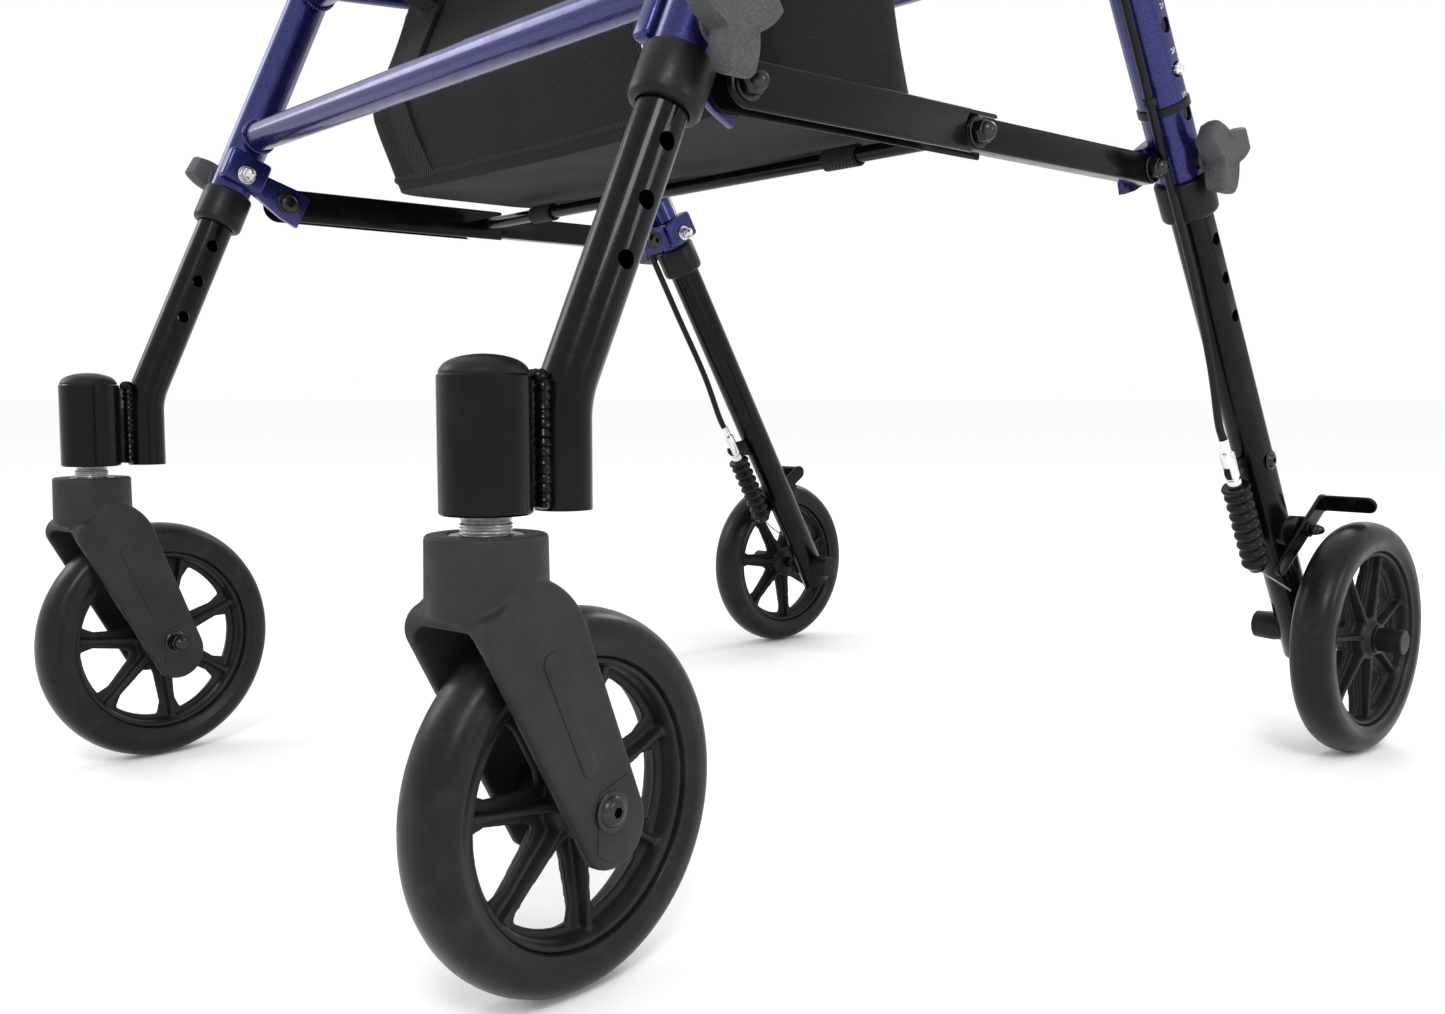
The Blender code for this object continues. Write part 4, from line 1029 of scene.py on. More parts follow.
def build_knobs_and_collars():
    """The collars, then each knob with its spacer and its stud's nut on the leg's inner side."""
    place_pair(collar_shape("collar_front", on_front(FRONT_COLLAR_Z), FRONT_DIR, OUTER_R,
                            INNER_R + SLIDE_GAP), "frame", "satin", "front_collar")
    place_pair(collar_shape("collar_rear", on_rear(REAR_COLLAR_Z), REAR_DIR, REAR_OUTER_R,
                            REAR_INNER_R + SLIDE_GAP), "rear_frame", "satin", "rear_collar")
    saddle, bare = 0.0065, -0.0004
    rows = (("front_knob", on_front(FRONT_KNOB_Z), OUTER_R, "frame", saddle),
            ("rear_knob", on_rear(REAR_KNOB_Z), REAR_OUTER_R, "rear_frame", saddle),
            ("handle_knob", on_front(HANDLE_KNOB_Z), OUTER_R, "frame", bare))
    for name, centre, outer_r, body, stand in rows:
        place_pair(knob_shape(name + "_moulding", centre, outer_r), name + "_body", "knob", name)
        inside = TRACK_X - outer_r - stand
        stud = acorn_nut(name + "_stud", (inside, centre.y, centre.z), (-1, 0, 0), 0.0046)
        place_pair(stud, body, "zinc")
        collar = turned(name + "_spacer", ((0.0, 0.0062), (0.0046, 0.0070)),
                        (TRACK_X + outer_r - 0.0012, centre.y, centre.z), (1, 0, 0), sides=36)
        place_pair(collar, body, "satin")


def cross_bar(level, y, z, radius, leg_r, body, node):
    """A blue bar from leg to leg, with a weld bead round each end."""
    reach = TRACK_X - leg_r + 0.0006
    place(tube("cross_bar_" + level, ((-reach, y, z), (reach, y, z)), radius), body, "blue", node)
    place_pair(weld_ring("weld_" + level, (reach - 0.0014, y, z), (1, 0, 0), radius + 0.0006, 0.0018),
               body, "blue")


def build_front_frame():
    place_pair(front_leg_shape(), "frame", "blue", "front_leg_tube")
    y_up = front_y(UPPER_BAR_Z)
    cross_bar("low", front_y(LOWER_BAR_Z), LOWER_BAR_Z, LOWER_BAR_R, OUTER_R, "frame",
              "lower_cross_tube")
    cross_bar("high", y_up, UPPER_BAR_Z, UPPER_BAR_R, OUTER_R, "frame", "seat_frame")
    rail_end = (RAIL_X, FOLD_AXIS[0] + 0.030, FOLD_AXIS[1])
    rail = tube("seat_rail", ((RAIL_X, y_up, UPPER_BAR_Z), rail_end), 0.0085, sides=36)
    rounded(rail, 0.0012, 3)
    place_pair(rail, "frame", "blue")
    start = RAIL_X
    face = TRACK_X - REAR_OUTER_R - 0.0003 - start
    back = TRACK_X + REAR_OUTER_R + 0.0003 - start
    stub = turned("fold_stub", ((0.0, 0.0070), (face - 0.0006, 0.0070), (face, 0.0064), (face, 0.0040),
                                (back, 0.0040)), (start, *FOLD_AXIS), (1, 0, 0), sides=40)
    place_pair(stub, "frame", "blue")
    nut = acorn_nut("fold_nut", (TRACK_X + REAR_OUTER_R + 0.0002, *FOLD_AXIS), (1, 0, 0), 0.0052)
    place_pair(nut, "frame", "zinc")


def caster_leg_shape():
    """Black inner tube bent upright at its foot, with its open adjustment holes."""
    foot = (TRACK_X, LEG_BEND[0], HOUSING_Z[0])
    bend = (TRACK_X, LEG_BEND[0], LEG_BEND[1])
    top = on_front(FRONT_COLLAR_Z, 0.112)
    leg = tube("caster_tube", (foot, bend, top), INNER_R, bore=INNER_R - TUBE_WALL, bend=0.045)
    for step in range(-2, 5):
        centre = on_front(FRONT_KNOB_Z) - FRONT_DIR * step * HOLE_PITCH
        cut(leg, through_hole(centre, HOLE_R))
    return rounded(leg, 0.0004, 2)


def build_caster_legs():
    place_pair(caster_leg_shape(), "front_leg", "black", "caster_leg")
    low, high = HOUSING_Z
    housing = turned_ring("housing", ((0.0, 0.0150), (0.0, HOUSING_R - 0.0007), (0.0007, HOUSING_R),
                                      (high - low - 0.0007, HOUSING_R), (high - low, HOUSING_R - 0.0007),
                                      (high - low, 0.0150)), (TRACK_X, SWIVEL_Y, low), (0, 0, 1), sides=88)
    place_pair(housing, "front_leg", "black")
    profile = [(0.0, 0.0149), (0.0004, HOUSING_R - 0.0010), (0.0016, HOUSING_R - 0.0008)]
    profile += dome(0.0016, 0.0062, HOUSING_R - 0.0012, 8, 17)
    cap = turned("housing_cap", profile, (TRACK_X, SWIVEL_Y, high - 0.0006), (0, 0, 1), sides=72)
    place_pair(cap, "front_leg", "satin")
    floor_ring = turned("housing_floor", ((0.0, 0.0152), (0.0010, 0.0152)),
                        (TRACK_X, SWIVEL_Y, low + 0.0008), (0, 0, 1), sides=56)
    place_pair(floor_ring, "front_leg", "dark_steel")
    web_low, web_high = 0.1925, 0.2400
    web = slab("caster_web", ((SWIVEL_Y + 0.010, web_low), (LEG_BEND[0] - 0.006, web_low),
                              (LEG_BEND[0] - 0.006, web_high), (SWIVEL_Y + 0.010, web_high)),
               TRACK_X - 0.0034, TRACK_X + 0.0034)
    place_pair(rounded(web), "front_leg", "black")
    beads = []
    seams = ((SWIVEL_Y + HOUSING_R - 0.0010, 0.0012), (LEG_BEND[0] - INNER_R - 0.0002, 0.0034))
    for seam_y, bead_r in seams:
        paths = [((x, seam_y, web_low - 0.0006), (x, seam_y, web_high + 0.0006))
                 for x in (TRACK_X - 0.0040, TRACK_X + 0.0040)]
        paths.append(((TRACK_X - 0.0046, seam_y, web_high + 0.0008),
                      (TRACK_X + 0.0046, seam_y, web_high + 0.0008)))
        beads += [weld_bead("bead", path, bead_r, 0.0034, 0.34) for path in paths]
    place_pair(joined("caster_welds", *beads), "front_leg", "black")


# ---------------------------------------------------------------- rear frame
def rear_leg_shape():
    base = on_rear(REAR_COLLAR_Z)
    top = on_rear(FOLD_AXIS[1], 0.016)
    leg = tube("rear_tube", (base, top), REAR_OUTER_R)
    knob = on_rear(REAR_KNOB_Z)
    saddle = box("saddle", (-0.0065, -0.0146, -0.0068), (0.0045, 0.0146, 0.0142))
    rounded(saddle, 0.0026, 4)
    saddle.data.transform(Matrix.Translation((TRACK_X - REAR_OUTER_R, knob.y, knob.z)) @
                          Matrix.Rotation(REAR_LEAN, 4, 'X'))
    ear_face = LINK_X - CHANNEL_W / 2
    ear = slab("ear", strip((knob.y, knob.z), P3, 0.0060, 0.0108, 0.0112), ear_face - 0.0038, ear_face)
    unite(leg, saddle, ear)
    bore = tube("bore", (base - REAR_DIR * 0.01, top - REAR_DIR * 0.004), REAR_INNER_R + SLIDE_GAP)
    cut(leg, bore)
    for step in range(5):
        centre = on_rear(BUTTON_Z) + REAR_DIR * (step - 1) * HOLE_PITCH
        cut(leg, side_hole(TRACK_X, centre, HOLE_R * 1.15))
    cut(leg, through_hole(Vector((TRACK_X, *FOLD_AXIS)), 0.0045))
    return rounded(leg, 0.0006, 2)


def hole_numbers():
    """Small printed numerals beside the left leg's height holes, counting up the leg."""
    shapes = []
    turn = Matrix(((0, 0, 1), (1, 0, 0), (0, 1, 0))).to_4x4()
    for step, label in enumerate(("19", "20", "21", "22", "23")):
        centre = on_rear(BUTTON_Z) + REAR_DIR * ((step - 1) * HOLE_PITCH + 0.0105)
        text = bpy.data.curves.new("label", 'FONT')
        text.body = label
        text.size = 0.0042
        text.align_x = 'CENTER'
        text.align_y = 'CENTER'
        text.resolution_u = 6
        guide = bpy.data.objects.new("label", text)
        bpy.context.scene.collection.objects.link(guide)
        bpy.context.view_layer.update()
        graph = bpy.context.evaluated_depsgraph_get()
        mesh = bpy.data.meshes.new_from_object(guide.evaluated_get(graph))
        bpy.data.objects.remove(guide, do_unlink=True)
        mesh.transform(Matrix.Rotation(REAR_LEAN, 4, 'X') @ turn)
        for vert in mesh.vertices:
            bend = (REAR_OUTER_R + 0.00012) ** 2 - (vert.co.y / cos(REAR_LEAN)) ** 2 * 0.6
            vert.co.x = max(bend, 0) ** 0.5
        mesh.transform(Matrix.Translation(centre))
        label_obj = bpy.data.objects.new("label", mesh)
        bpy.context.scene.collection.objects.link(label_obj)
        shapes.append(label_obj)
    return joined("height_numbers", *shapes)


def rear_inner_shape():
    foot = on_rear(REAR_AXLE[1], -0.018)
    top = on_rear(REAR_COLLAR_Z, 0.112)
    leg = tube("rear_inner", (foot, top), REAR_INNER_R, bore=REAR_INNER_R - TUBE_WALL)
    for step in range(5):
        centre = on_rear(REAR_KNOB_Z) + REAR_DIR * (step - 4) * HOLE_PITCH
        cut(leg, side_hole(TRACK_X + 0.002, centre, HOLE_R))
    cut(leg, side_hole(TRACK_X + 0.002, on_rear(BUTTON_Z), HOLE_R * 1.1))
    return rounded(leg, 0.0004, 2)


def build_rear_frame():
    place_pair(rear_leg_shape(), "rear_frame", "blue", "rear_leg_tube")
    place(hole_numbers(), "rear_frame", "ink")
    plug = turned("rear_tube_plug", ((0.0, REAR_OUTER_R), (0.0012, REAR_OUTER_R), (0.0030, 0.0105),
                                     (0.0036, 0.0050)), on_rear(FOLD_AXIS[1], 0.0160), REAR_DIR, sides=56)
    place_pair(plug, "rear_frame", "satin")
    cross_bar("rear", rear_y(REAR_BAR_Z), REAR_BAR_Z, REAR_BAR_R, REAR_OUTER_R, "rear_frame",
              "rear_cross_tube")
    place_pair(rear_inner_shape(), "rear_leg", "black", "rear_leg_inner")
    button = on_rear(BUTTON_Z)
    face = REAR_OUTER_R + 0.0010
    profile = [(0.0, 0.0035), (face, 0.0035)] + dome(face, 0.0034, 0.0035, 7, 15)
    place_pair(turned("button_dome", profile, (TRACK_X - 0.0005, button.y, button.z), (1, 0, 0),
                      sides=36), "button", "chrome", "snap_button")
    for side, sign in SIDES.items():
        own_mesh(bpy.data.objects["button_dome_" + side])
    spigot = turned("axle_boss", ((-0.0290, 0.0078), (-0.0282, 0.0092), (-0.0150, 0.0098), (-0.0120, 0.0092),
                                  (0.0120, 0.0092), (0.0168, 0.0088)), (TRACK_X, *REAR_AXLE), (1, 0, 0),
                    sides=52)
    place_pair(spigot, "rear_leg", "satin")
    place_pair(weld_ring("weld_axle", (TRACK_X + 0.0122, *REAR_AXLE), (1, 0, 0), 0.0094, 0.0016),
               "rear_leg", "black")


# ---------------------------------------------------------------- brakes
def brake_arm_shape():
    """Flat bell-crank with a round-ended tab folded out level over the tyre."""
    cable_end = (ARM_PIVOT[0] - 0.0350, ARM_PIVOT[1] - 0.0225)
    corner = (ARM_PIVOT[0] + 0.0200, ARM_PIVOT[1] + 0.0165)
    low, high = ARM_X - 0.0017, ARM_X + 0.0011
    bar = slab("arm_bar", tapered_bar(cable_end, 0.0058, corner, 0.0060, steps=14), low, high)
    length, half = 0.0372, 0.0060
    outline = [(0.0, -half), (length - half, -half)]
    outline += arc((length - half, 0.0), half, -80, 80, 12)
    outline += [(length - half, half), (0.0, half)]
    tab = prism("tab", [(x, y, -0.0014) for x, y in outline], [(x, y, 0.0014) for x, y in outline])
    tab.data.transform(Matrix.Translation((low + 0.0002, corner[0], corner[1])) @
                       Matrix.Rotation(radians(33 + 90), 4, 'X'))
    unite(bar, tab)
    return moulded_solid(bar, 0.0006, 3)


def cable_stop():
    """Where the brake cable ends, ahead of the rear inner tube."""
    return Vector((TRACK_X, rear_y(STOP_Z) - STOP_AHEAD, STOP_Z))


def boot_shape():
    """Ribbed boot with a flanged head, eight round ribs and a plain foot."""
    top = cable_stop() - REAR_DIR * 0.0118
    ribs = 8
    pitch = 0.0072
    profile = [(0.0, 0.0056), (0.0002, 0.0084), (-0.0010, 0.0092), (-0.0024, 0.0088), (-0.0032, 0.0066)]
    for k in range(ribs * 8 + 1):
        wave = 0.5 - 0.5 * cos(2 * pi * k / 8)
        profile.append((-0.0036 - k * pitch / 8, 0.0064 + 0.0024 * wave ** 0.7))
    profile.append((-0.0640, 0.0050))
    return turned("boot", profile, top, REAR_DIR, sides=48)


def build_brakes():
    place_pair(brake_arm_shape(), "arm", "black", "brake_arm")
    pivot = (ARM_X + 0.0009, *ARM_PIVOT)
    place_pair(acorn_nut("arm_pivot", pivot, (1, 0, 0), 0.0040), "arm", "dark_steel")
    lug = slab("arm_lug", tapered_bar((rear_y(ARM_PIVOT[1]), ARM_PIVOT[1]), 0.0100, ARM_PIVOT, 0.0085,
                                      steps=14), TRACK_X + 0.0040, ARM_X - 0.0022)
    place_pair(rounded(lug), "rear_leg", "black")
    stop = cable_stop()
    bracket = slab("cable_bracket", tapered_bar((rear_y(STOP_Z), STOP_Z + 0.003), 0.0080,
                                                (stop.y, stop.z), 0.0062, steps=14),
                   TRACK_X - 0.0019, TRACK_X + 0.0019)
    place_pair(rounded(bracket), "rear_leg", "black")
    clamp_at = on_rear(STOP_Z + 0.006)
    place_pair(socket_bolt("bracket_bolt", (TRACK_X + REAR_INNER_R - 0.0006, clamp_at.y - 0.001, clamp_at.z),
                           (1, 0, 0), 0.0050), "rear_leg", "dark_steel")
    ferrule = turned("ferrule", ((-0.0110, 0.0030), (-0.0108, 0.0046), (-0.0060, 0.0046), (-0.0058, 0.0038),
                                 (-0.0040, 0.0038), (-0.0038, 0.0047), (0.0130, 0.0047), (0.0140, 0.0040),
                                 (0.0146, 0.0033), (0.0232, 0.0033)), stop, REAR_DIR, sides=40)
    place_pair(ferrule, "rear_leg", "chrome")
    place_pair(boot_shape(), "rear_leg", "boot", "bellows")
    foot = stop - REAR_DIR * 0.0760
    nut = turned("wire_nut", ((0.0, 0.0034), (0.0046, 0.0036)), foot, REAR_DIR, sides=6)
    place_pair(rounded(nut, 0.0003, 2), "rear_leg", "chrome")
    anchor = on_rear(REAR_AXLE[1] + 0.030) + Vector((0.0085, -0.0115, 0))
    wire = tube("bare_wire", (foot, foot.lerp(anchor, 0.5) + Vector((0.001, -0.001, 0)), anchor), 0.0006,
                bend=0.02, sides=10, steps=4)
    place_pair(wire, "rear_leg", "zinc")


# ---------------------------------------------------------------- folding links
def channel_shape():
    """Inverted U pressing; its outer wall is cut back in an arc round the middle pivot."""
    half_h = CHANNEL_H / 2
    low_x = LINK_X - CHANNEL_W / 2
    high_x = LINK_X + CHANNEL_W / 2
    end = P2[0] + 0.0150
    outline = arc(P1, half_h, 90, 270, 24) + [(end, P2[1] - half_h), (end, P2[1] + half_h)]
    body = slab("channel", outline, low_x, high_x)
    rounded(body, 0.0016, 4)
    hollow = slab("hollow", [(P1[0] - 0.030, P1[1] - 0.040), (end + 0.02, P2[1] - 0.040),
                             (end + 0.02, P2[1] + half_h - CHANNEL_T),
                             (P1[0] - 0.030, P1[1] + half_h - CHANNEL_T)],
                  low_x + CHANNEL_T, high_x - CHANNEL_T)
    notch = slab("notch", arc(P2, 0.0125, 100, 260, 24) + [(end + 0.02, P2[1] - 0.0135),
                                                          (end + 0.02, P2[1] + 0.0095)],
                 high_x - CHANNEL_T - 0.0005, high_x + 0.01)
    cut(body, hollow, notch)
    return rounded(body, 0.0003, 2, 50)


def build_links():
    place_pair(channel_shape(), "spreader", "black", "front_link")
    half_t = (CHANNEL_W - 2 * CHANNEL_T) / 2 - 0.0006
    bar = slab("link_bar", tapered_bar(P2, LINK_H / 2, P3, LINK_H / 2, steps=24), LINK_X - half_t,
               LINK_X + half_t)
    place_pair(rounded(bar, 0.0009, 3), "rear_link_body", "black", "rear_link")
    outside = LINK_X + CHANNEL_W / 2
    nuts = (("front", outside - 0.0001, P1, "spreader"), ("middle", LINK_X + half_t, P2, "spreader"),
            ("rear", LINK_X + half_t - 0.0001, P3, "rear_link_body"))
    for name, x, pivot, body in nuts:
        place_pair(acorn_nut("link_nut_" + name, (x, *pivot), (1, 0, 0), 0.0060), body, "dark_steel")
    reach = LINK_X - CHANNEL_W / 2
    bolts = (("front", reach - 0.0041, P1, "frame"), ("rear", reach - 0.0038, P3, "rear_frame"))
    for name, x, pivot, body in bolts:
        place_pair(socket_bolt("ear_bolt_" + name, (x, *pivot), (-1, 0, 0), 0.0062), body, "dark_steel")
    rod = tube("sync_bar", ((-reach, *P2), (reach, *P2)), 0.0042, sides=40)
    place(rod, "spreader", "black", "sync_rod")
    loop = turned_ring("rod_loop", ((-0.0120, 0.0044), (-0.0124, 0.0054), (-0.0118, 0.0060),
                                    (0.0118, 0.0060), (0.0124, 0.0054), (0.0120, 0.0044)),
                       (0.1450, *P2), (1, 0, 0), sides=40)
    for piece in (loop, reflected(loop, "rod_loop_far")):
        place(piece, "spreader", "webbing")


# ---------------------------------------------------------------- soft goods
def fabric_shell(name, rings, thickness):
    """A shell through rings of points, closed below, then given its cloth's thickness."""
    mesh_data = bmesh.new()
    loops = [[mesh_data.verts.new(p) for p in ring] for ring in rings]
    bridge_all(mesh_data, loops)
    mesh_data.faces.new(loops[0])
    shell = make_object(name, mesh_data)
    solid = shell.modifiers.new("cloth", 'SOLIDIFY')
    solid.thickness = thickness
    solid.offset = 1.0
    return applied(shell, angle=60)


def bag_section(t):
    """Front y, rear y and height of the bag at a share t of its height, 0 at the bottom."""
    z = BAG_LOW + (BAG_TOP - BAG_LOW) * t
    front = -0.1500 - 0.0245 * sin(min(t * 1.9, 1.0) * pi / 2) + 0.0395 * max(t - 0.35, 0.0) / 0.65
    rear = -0.0235 - 0.0270 * t
    return front, rear, z


def bag_fold(x, y, z, t, strength):
    """Slack of hung cloth: shallow folds falling from the straps, and a sagging middle."""
    fall = sin(x * 41.0 + z * 26.0 + 0.8) * 0.5 + sin(x * 17.0 - z * 47.0 + y * 31.0) * 0.5
    crease = sin((abs(x) - 0.12) * 90.0 + z * 55.0) * 0.35
    return (fall + crease) * strength * (0.35 + 0.65 * t)


def bag_ring(t):
    """One level loop of the bag with rounded corners and uneven walls."""
    front, rear, z = bag_section(t)
    corner = 0.016 + 0.010 * (1.0 - t)
    half_x = BAG_HALF_X - 0.0065 * sin(pi * min(t, 1.0))
    corners = ((half_x - corner, rear - corner, 0), (-half_x + corner, rear - corner, 90),
               (-half_x + corner, front + corner, 180), (half_x - corner, front + corner, 270))
    loop = []
    for cx, cy, start in corners:
        loop += arc((cx, cy), corner, start, start + 90, 7)
    dense = []
    for (ax, ay), (bx, by) in zip(loop, loop[1:] + loop[:1]):
        count = 1
        if abs(bx - ax) > 0.1:
            count = 44
        elif abs(by - ay) > 0.03:
            count = 12
        for k in range(count):
            share = k / count
            dense.append((ax + (bx - ax) * share, ay + (by - ay) * share))
    points = []
    middle_y = (front + rear) / 2
    for x, y in dense:
        out = 1.0 if y > middle_y else -1.0
        slack = bag_fold(x, y, z, t, BAG_SLACK)
        sag = -0.0030 * (1.0 - (x / half_x) ** 2) * (1.0 - t) if t < 0.15 else 0.0
        points.append(Vector((x, y + out * slack * 0.9 - (0.0016 if out > 0 else -0.0016), z + sag)))
    return points


def bag_rings():
    """Bottom loops drawn in under the bag, then the walls up to the open top."""
    rings = []
    front, rear, _ = bag_section(0.0)
    middle = Vector((0, (front + rear) / 2, BAG_LOW))
    for share in (0.15, 0.40, 0.65, 0.85, 0.96):
        ring = []
        for p in bag_ring(0.0):
            flat = middle + (p - middle) * share
            droop = 0.0016 * sin(flat.x * 48.0) * sin(flat.y * 70.0)
            ring.append(Vector((flat.x, flat.y, BAG_LOW + 0.0022 + droop)))
        rings.append(ring)
    levels = 22
    for k in range(levels + 1):
        t = k / levels
        lift = 0.0030 * max(1.0 - t * 9.0, 0.0)
        ring = [Vector((p.x, p.y, p.z + BAG_LIFT - lift)) for p in bag_ring(t)]
        rings.append(ring)
    return rings


def ribbon(name, path, normals, half_width, thickness):
    """A flat tape along a path; each normal is the way its face looks."""
    rings = []
    count = len(path)
    for i in range(count):
        tangent = (path[min(i + 1, count - 1)] - path[max(i - 1, 0)]).normalized()
        face = (normals[i] - tangent * normals[i].dot(tangent)).normalized()
        across = tangent.cross(face)
        rings.append([path[i] + across * half_width * sa + face * thickness * sf
                      for sa, sf in ((-1, 0), (-0.92, 1), (0.92, 1), (1, 0))])
    return skin(name, rings)


def stitch_row(path, offset, pitch, radius, zigzag=0.0):
    """Short raised stitches along a path."""
    parts = []
    travelled = 0.0
    side = 1.0
    for a, b in zip(path, path[1:]):
        step = (b - a).length
        travelled += step
        if travelled >= pitch and step > 1e-6:
            travelled = 0.0
            along = (b - a).normalized()
            sway = Vector((0, 0, 1)) * zigzag * side
            side = -side
            start = a + offset - sway * 0.5
            end = a + offset + along * pitch * 0.62 + sway * 0.5
            parts.append(swept("stitch", (start, end), radius, sides=6))
    return parts


def crumple(obj):
    """Give a piece of the bag its own copy of its mesh."""
    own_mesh(obj)


def build_bag():
    """Open-topped nylon bag: shell, bound lower seam, bound mouth, webbing and its stitches."""
    shell = fabric_shell("bag_shell", bag_rings(), 0.0011)
    crumple(place(shell, "frame", "nylon", "bag"))
    seam = [Vector((p.x * 1.006, p.y + (0.0012 if p.y > -0.09 else -0.0012), p.z + 0.0052))
            for p in bag_ring(0.02)]
    seam.append(seam[0])
    piping = swept("bag_piping", seam, 0.0022, sides=10)
    crumple(place(piping, "frame", "webbing"))
    mouth = [Vector((p.x, p.y, p.z + 0.0020)) for p in bag_ring(1.0)]
    mouth.append(mouth[0])
    normals = [Vector((p.x * 0.3, p.y + 0.095, 0)).normalized() for p in mouth]
    binding = ribbon("bag_binding", mouth, normals, 0.0065, 0.0019)
    crumple(place(binding, "frame", "webbing"))
    zigzag = stitch_row(seam, Vector((0, -0.0006, 0.0052)), 0.0046, 0.00034, 0.0034)
    crumple(place(joined("bag_zigzag", *zigzag), "frame", "grip"))
    tapes = []
    for x in (-BAG_TAPE_X, BAG_TAPE_X):
        front_path = []
        for k in range(15):
            t = k / 14
            front, _, z = bag_section(t)
            slack = bag_fold(x, front, z, t, BAG_SLACK) * 0.9
            front_path.append(Vector((x, front - slack - 0.0002, z + BAG_LIFT)))
        tapes.append(ribbon("tape", front_path, [Vector((0, -1, 0))] * len(front_path), 0.0125, 0.0021))
    crumple(place(joined("bag_tapes", *tapes), "frame", "webbing"))
    build_bag_straps()


def build_bag_straps():
    """Loops of webbing from the bag's mouth round the upper blue bar and the seat rails, and two
    wire rings at its front corners."""
    straps = []
    rings = []
    y_bar = front_y(UPPER_BAR_Z)
    for x in (-BAG_TAPE_X, BAG_TAPE_X):
        path = [Vector((x, bag_section(1.0)[0] - 0.0012, BAG_TOP - 0.010)),
                Vector((x, y_bar + 0.0125, UPPER_BAR_Z - 0.0060))]
        for k in range(13):
            angle = radians(-25 + 245 * k / 12)
            path.append(Vector((x, y_bar + 0.0118 * cos(angle), UPPER_BAR_Z + 0.0118 * sin(angle))))
        path.append(Vector((x, y_bar - 0.0030, UPPER_BAR_Z - 0.0125)))
        path.append(Vector((x, bag_section(1.0)[0] - 0.0036, BAG_TOP - 0.012)))
        centre = Vector((x, y_bar, UPPER_BAR_Z))
        facing = [(p - centre).normalized() if p.z > BAG_TOP else Vector((0, -1, 0.2)) for p in path]
        straps.append(ribbon("strap", path, facing, 0.0115, 0.0014))
    for sign in (-1.0, 1.0):
        x = sign * (BAG_HALF_X - 0.004)
        rail_x = sign * RAIL_X
        y = bag_section(1.0)[1] - 0.012
        rail_z = UPPER_BAR_Z + (FOLD_AXIS[1] - UPPER_BAR_Z) * (y - y_bar) / (FOLD_AXIS[0] + 0.03 - y_bar)
        path = [Vector((x, y, BAG_TOP - 0.012)), Vector((x + sign * 0.003, y, BAG_TOP + 0.006))]
        for k in range(13):
            angle = radians(190 - 260 * k / 12)
            path.append(Vector((rail_x + sign * 0.0100 * cos(angle), y, rail_z + 0.0100 * sin(angle))))
        path.append(Vector((x + sign * 0.007, y, BAG_TOP + 0.002)))
        path.append(Vector((x + sign * 0.0045, y, BAG_TOP - 0.014)))
        centre = Vector((rail_x, y, rail_z))
        facing = [(p - centre).normalized() if p.z > BAG_TOP + 0.008 else Vector((sign, 0, 0)) for p in path]
        straps.append(ribbon("strap", path, facing, 0.0110, 0.0013))
        ring = turned_ring("ring", ((-0.0011, 0.0080), (0.0, 0.0071), (0.0011, 0.0080), (0.0, 0.0091)),
                           (sign * (BAG_HALF_X - 0.001), bag_section(1.0)[0] + 0.010, BAG_TOP - 0.004),
                           (1, 0, 0.25 * sign), sides=40)
        rings.append(ring)
    crumple(place(joined("bag_straps", *straps), "frame", "webbing"))
    crumple(place(joined("bag_rings", *rings), "frame", "zinc"))


def cushion(name, low, high, seams, crown):
    """A stuffed pad: flat below, crowned above, its sides pulled in between the corners."""
    pull = 0.0035
    centre = (Vector(low) + Vector(high)) / 2
    half = (Vector(high) - Vector(low)) / 2
    layers = ((0.0, 0.965), (0.18, 0.995), (0.5, 1.0), (0.75, 0.992), (0.92, 0.965))
    outline = []
    radius = 0.022
    corner_x, corner_y = half.x - radius, half.y - radius
    corners = ((corner_x, corner_y, 0), (-corner_x, corner_y, 90), (-corner_x, -corner_y, 180),
               (corner_x, -corner_y, 270))
    for cx, cy, start in corners:
        outline += arc((cx, cy), radius, start, start + 90, 6)
    dense = []
    for (ax, ay), (bx, by) in zip(outline, outline[1:] + outline[:1]):
        count = max(int((((bx - ax) ** 2 + (by - ay) ** 2) ** 0.5) / 0.012), 1)
        dense += [(ax + (bx - ax) * k / count, ay + (by - ay) * k / count) for k in range(count)]
    rings = []

    def level(share, z_share, lift):
        ring = []
        for x, y in dense:
            u, v = x / half.x, y / half.y
            tuck = pull * ((1 - u * u) if abs(v) > abs(u) else (1 - v * v)) * share ** 4
            px = x * share - (tuck * u / max(abs(u), 0.3) if abs(u) > abs(v) else 0)
            py = y * share - (tuck * v / max(abs(v), 0.3) if abs(v) >= abs(u) else 0)
            dip = 0.0
            for seam_y in seams:
                dip += 0.0024 * 2.718 ** (-((py + centre.y - seam_y) / 0.0042) ** 2)
            z = low[2] + (high[2] - low[2]) * z_share + lift - (dip if lift > 0 else 0.0)
            ring.append((centre.x + px, centre.y + py, z))
        return ring

    for z_share, share in layers:
        rings.append(level(share, z_share * 0.72, 0.0))
    for k in range(1, 22):
        share = 0.955 * (1 - k / 22) ** 0.9
        edge = 1.0 - share ** 3.2
        rings.append(level(share, 0.70 + 0.02 * edge, max(crown * edge, 0.0001)))
    return skin(name, rings)


